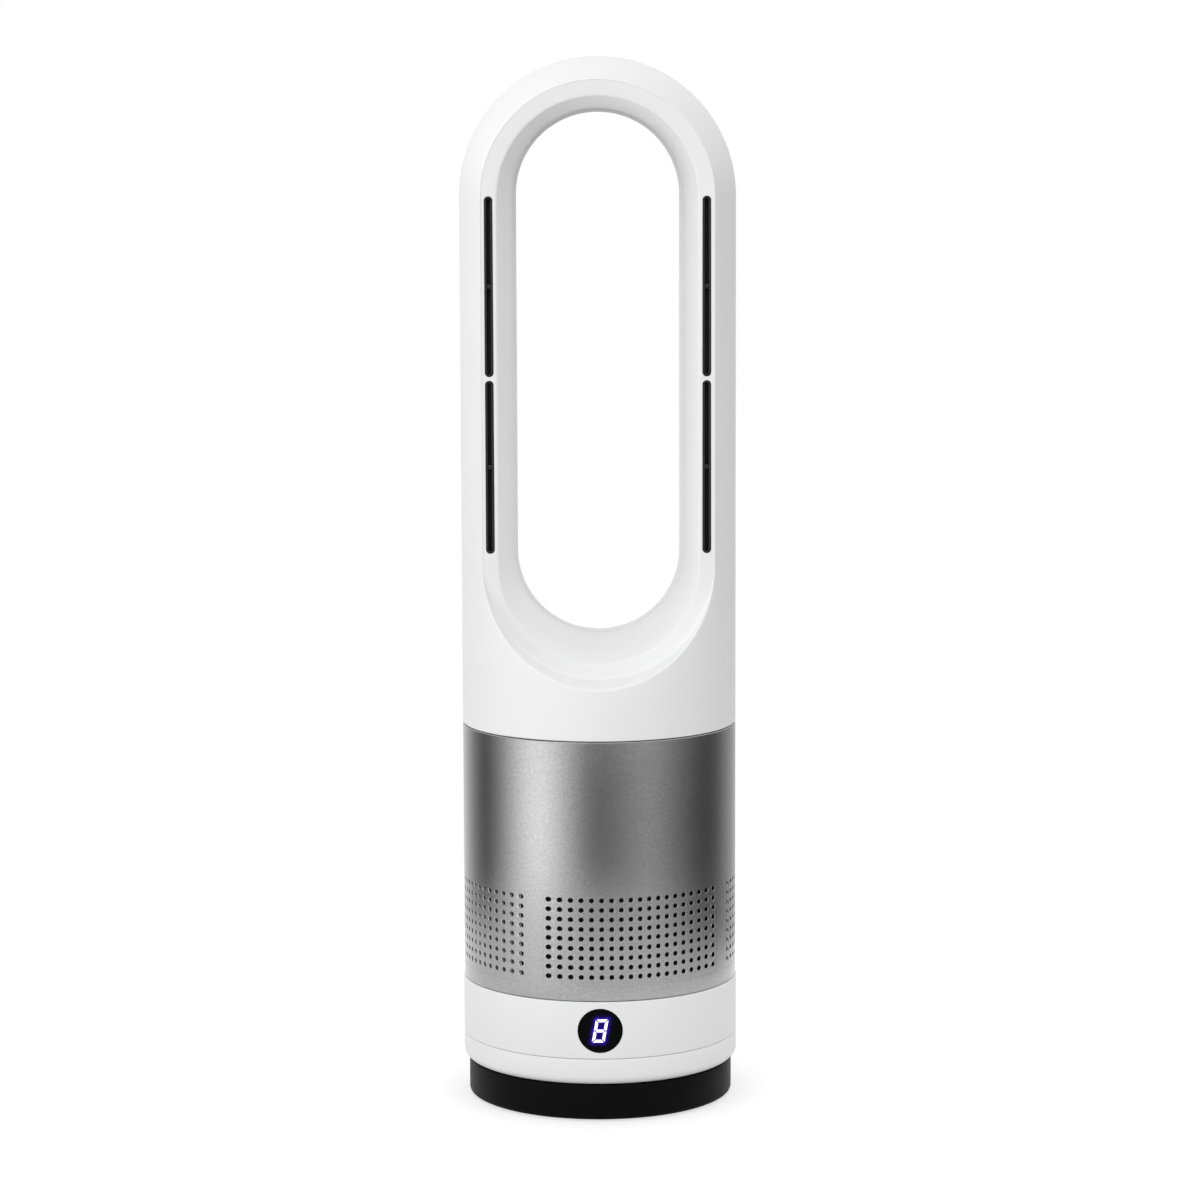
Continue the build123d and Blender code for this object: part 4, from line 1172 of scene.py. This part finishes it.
# %% Floor
# To the eye: matt white paper with a faint grey shadow.
FLOOR_R = 0.55
FLOOR_MIDDLE = (-0.06, -0.1, 0)
OWN_LIGHT = 0.56
bpy.ops.mesh.primitive_circle_add(vertices=96, radius=FLOOR_R, fill_type="NGON")
floor = bpy.context.object
floor.name = floor.data.name = "floor"
floor.data.transform(Matrix.Translation(FLOOR_MIDDLE))
paper = bpy.data.materials.new("pale_floor")
paper.use_nodes = True
tree = paper.node_tree
soft_ray = add(tree, "ShaderNodeLightPath").outputs["Is Diffuse Ray"]
lift = add(tree, "ShaderNodeMapRange", {"Value": soft_ray, "To Min": OWN_LIGHT, "To Max": 0.0})
feed(tree, tree.nodes["Principled BSDF"], {
    "Base Color": linear("C0C0C0"), "Roughness": 0.9, "Specular IOR Level": 0.1,
    "Emission Color": linear("FFFFFF"), "Emission Strength": lift.outputs["Result"]})
floor.data.materials.append(paper)
print("floor radius", FLOOR_R)

# %% [markdown]
# ## Light
#
# The grey lacquer works like a mirror, so what it shows is the studio itself: a large soft light
# at the front left, a weaker one at the front right, and dark gaps between them. The world gives
# these as soft bands round the horizon. Higher up it is an even wall light, a little stronger at
# the front than behind, that turns into a dimmer ceiling, for the white casings. The camera sees
# plain white instead, through the Light Path node.

# %% Bands round the horizon
BANDS = [
    # turn from the front in degrees, positive to the right, and brightness
    (-180, 1.0), (-146, 0.8), (-120, 0.03), (-102, 0.03), (-80, 0.75), (-56, 2.35), (-38, 1.6),
    (-18, 0.35), (-3, 0.06), (17, 0.2), (40, 0.6), (61, 0.3), (86, 0.03), (109, 0.0),
    (130, 0.3), (180, 0.9)]
world = bpy.data.worlds.new("studio")
bpy.context.scene.world = world
world.use_nodes = True
tree = world.node_tree
tree.nodes.clear()
direction = add(tree, "ShaderNodeTexCoord").outputs["Generated"]
parts = add(tree, "ShaderNodeSeparateXYZ", {"Vector": direction})
backwards = add(tree, "ShaderNodeMath", {0: parts.outputs["Y"], 1: -1.0}, operation="MULTIPLY")
turn = add(tree, "ShaderNodeMath", {0: parts.outputs["X"], 1: backwards.outputs["Value"]},
           operation="ARCTAN2")
share = add(tree, "ShaderNodeMapRange", {"Value": turn.outputs["Value"], "From Min": -pi,
                                         "From Max": pi})
bands = add(tree, "ShaderNodeValToRGB", {"Fac": share.outputs["Result"]})
bands.color_ramp.interpolation = "B_SPLINE"
stops = bands.color_ramp.elements
while len(stops) < len(BANDS):
    stops.new(0.5)
brightest = max(value for angle, value in BANDS)
for stop, (angle, value) in zip(stops, BANDS):
    stop.position = (angle + 180) / 360
    stop.color = [value / brightest] * 3 + [1.0]
print("world with", len(BANDS), "bands")

# %% Walls and ceiling
BANDS_END, WALL_START = -0.02, 0.22         # heights on a ball of radius 1 round the fan
CEILING_START = 0.45
FRONT_LIGHT, BACK_LIGHT = 1.42, 1.0
CEILING_LIGHT = 0.72
above = add(tree, "ShaderNodeMapRange", {"Value": parts.outputs["Z"], "From Min": BANDS_END,
                                         "From Max": WALL_START}, interpolation_type="SMOOTHSTEP")
walls = add(tree, "ShaderNodeMapRange", {"Value": parts.outputs["Y"], "From Min": -1.0,
                                         "To Min": FRONT_LIGHT, "To Max": BACK_LIGHT})
ceiling = add(tree, "ShaderNodeMapRange", {
    "Value": parts.outputs["Z"], "From Min": CEILING_START, "To Min": walls.outputs["Result"],
    "To Max": CEILING_LIGHT})
horizon = add(tree, "ShaderNodeMath", {0: bands.outputs["Color"], 1: brightest},
              operation="MULTIPLY")
studio = add(tree, "ShaderNodeMix", {0: above.outputs["Result"], 2: horizon.outputs["Value"],
                                     3: ceiling.outputs["Result"]}, data_type="FLOAT")

# %% White for the camera
lit = add(tree, "ShaderNodeBackground", {"Color": linear("FFFFFF"),
                                         "Strength": studio.outputs[0]})
seen = add(tree, "ShaderNodeBackground", {"Color": linear("FFFFFF"), "Strength": 1.0})
ray = add(tree, "ShaderNodeLightPath").outputs["Is Camera Ray"]
either = add(tree, "ShaderNodeMixShader", {0: ray, 1: lit.outputs["Background"],
                                           2: seen.outputs["Background"]})
add(tree, "ShaderNodeOutputWorld", {"Surface": either.outputs["Shader"]})
print("world nodes", len(tree.nodes))

# %% [markdown]
# ## Soft key light
#
# The world alone leaves no direction in the light. One weak square area light at the front left,
# higher than the fan, gives the rims and the opening their soft shading. It is large and far
# away, so its shadows have no hard edge.

# %% Key light
KEY_PLACE = Vector((-1.0, -1.75, 1.6))
KEY_SIZE, KEY_POWER = 1.2, 4
AIM = Vector((0, 0, 0.3))
bpy.ops.object.light_add(type="AREA", location=KEY_PLACE)
key = bpy.context.object
key.name = "key_softbox"
key.data.shape = "RECTANGLE"
key.data.size = key.data.size_y = KEY_SIZE
key.data.energy = KEY_POWER
key.rotation_euler = (AIM - KEY_PLACE).to_track_quat("-Z", "Y").to_euler()
print("key light", KEY_POWER, "W")

# %% [markdown]
# ## Camera
#
# The camera stands about 2.25 m in front of the fan, a little above its middle, and looks
# slightly down. From that far, with a long lens, upright lines stay nearly parallel.

# %% Camera
CAMERA_PLACE = (0.0007, -2.2539, 0.5854)
LENS_MM, SENSOR_MM = 116.44, 36.0
LOOK_DOWN = radians(7.395)
ROLL = radians(-0.19)
bpy.ops.object.camera_add(location=CAMERA_PLACE)
camera = bpy.context.object
camera.data.lens = LENS_MM
camera.data.sensor_width = SENSOR_MM
tilt = Matrix.Rotation(pi / 2 - LOOK_DOWN, 4, "X")
camera.matrix_world = (Matrix.Translation(CAMERA_PLACE) @ tilt
                       @ Matrix.Rotation(ROLL, 4, "Z"))
bpy.context.scene.camera = camera
bpy.context.scene.view_settings.view_transform = "Standard"
print("camera", round(Vector(CAMERA_PLACE).length, 2), "m away")
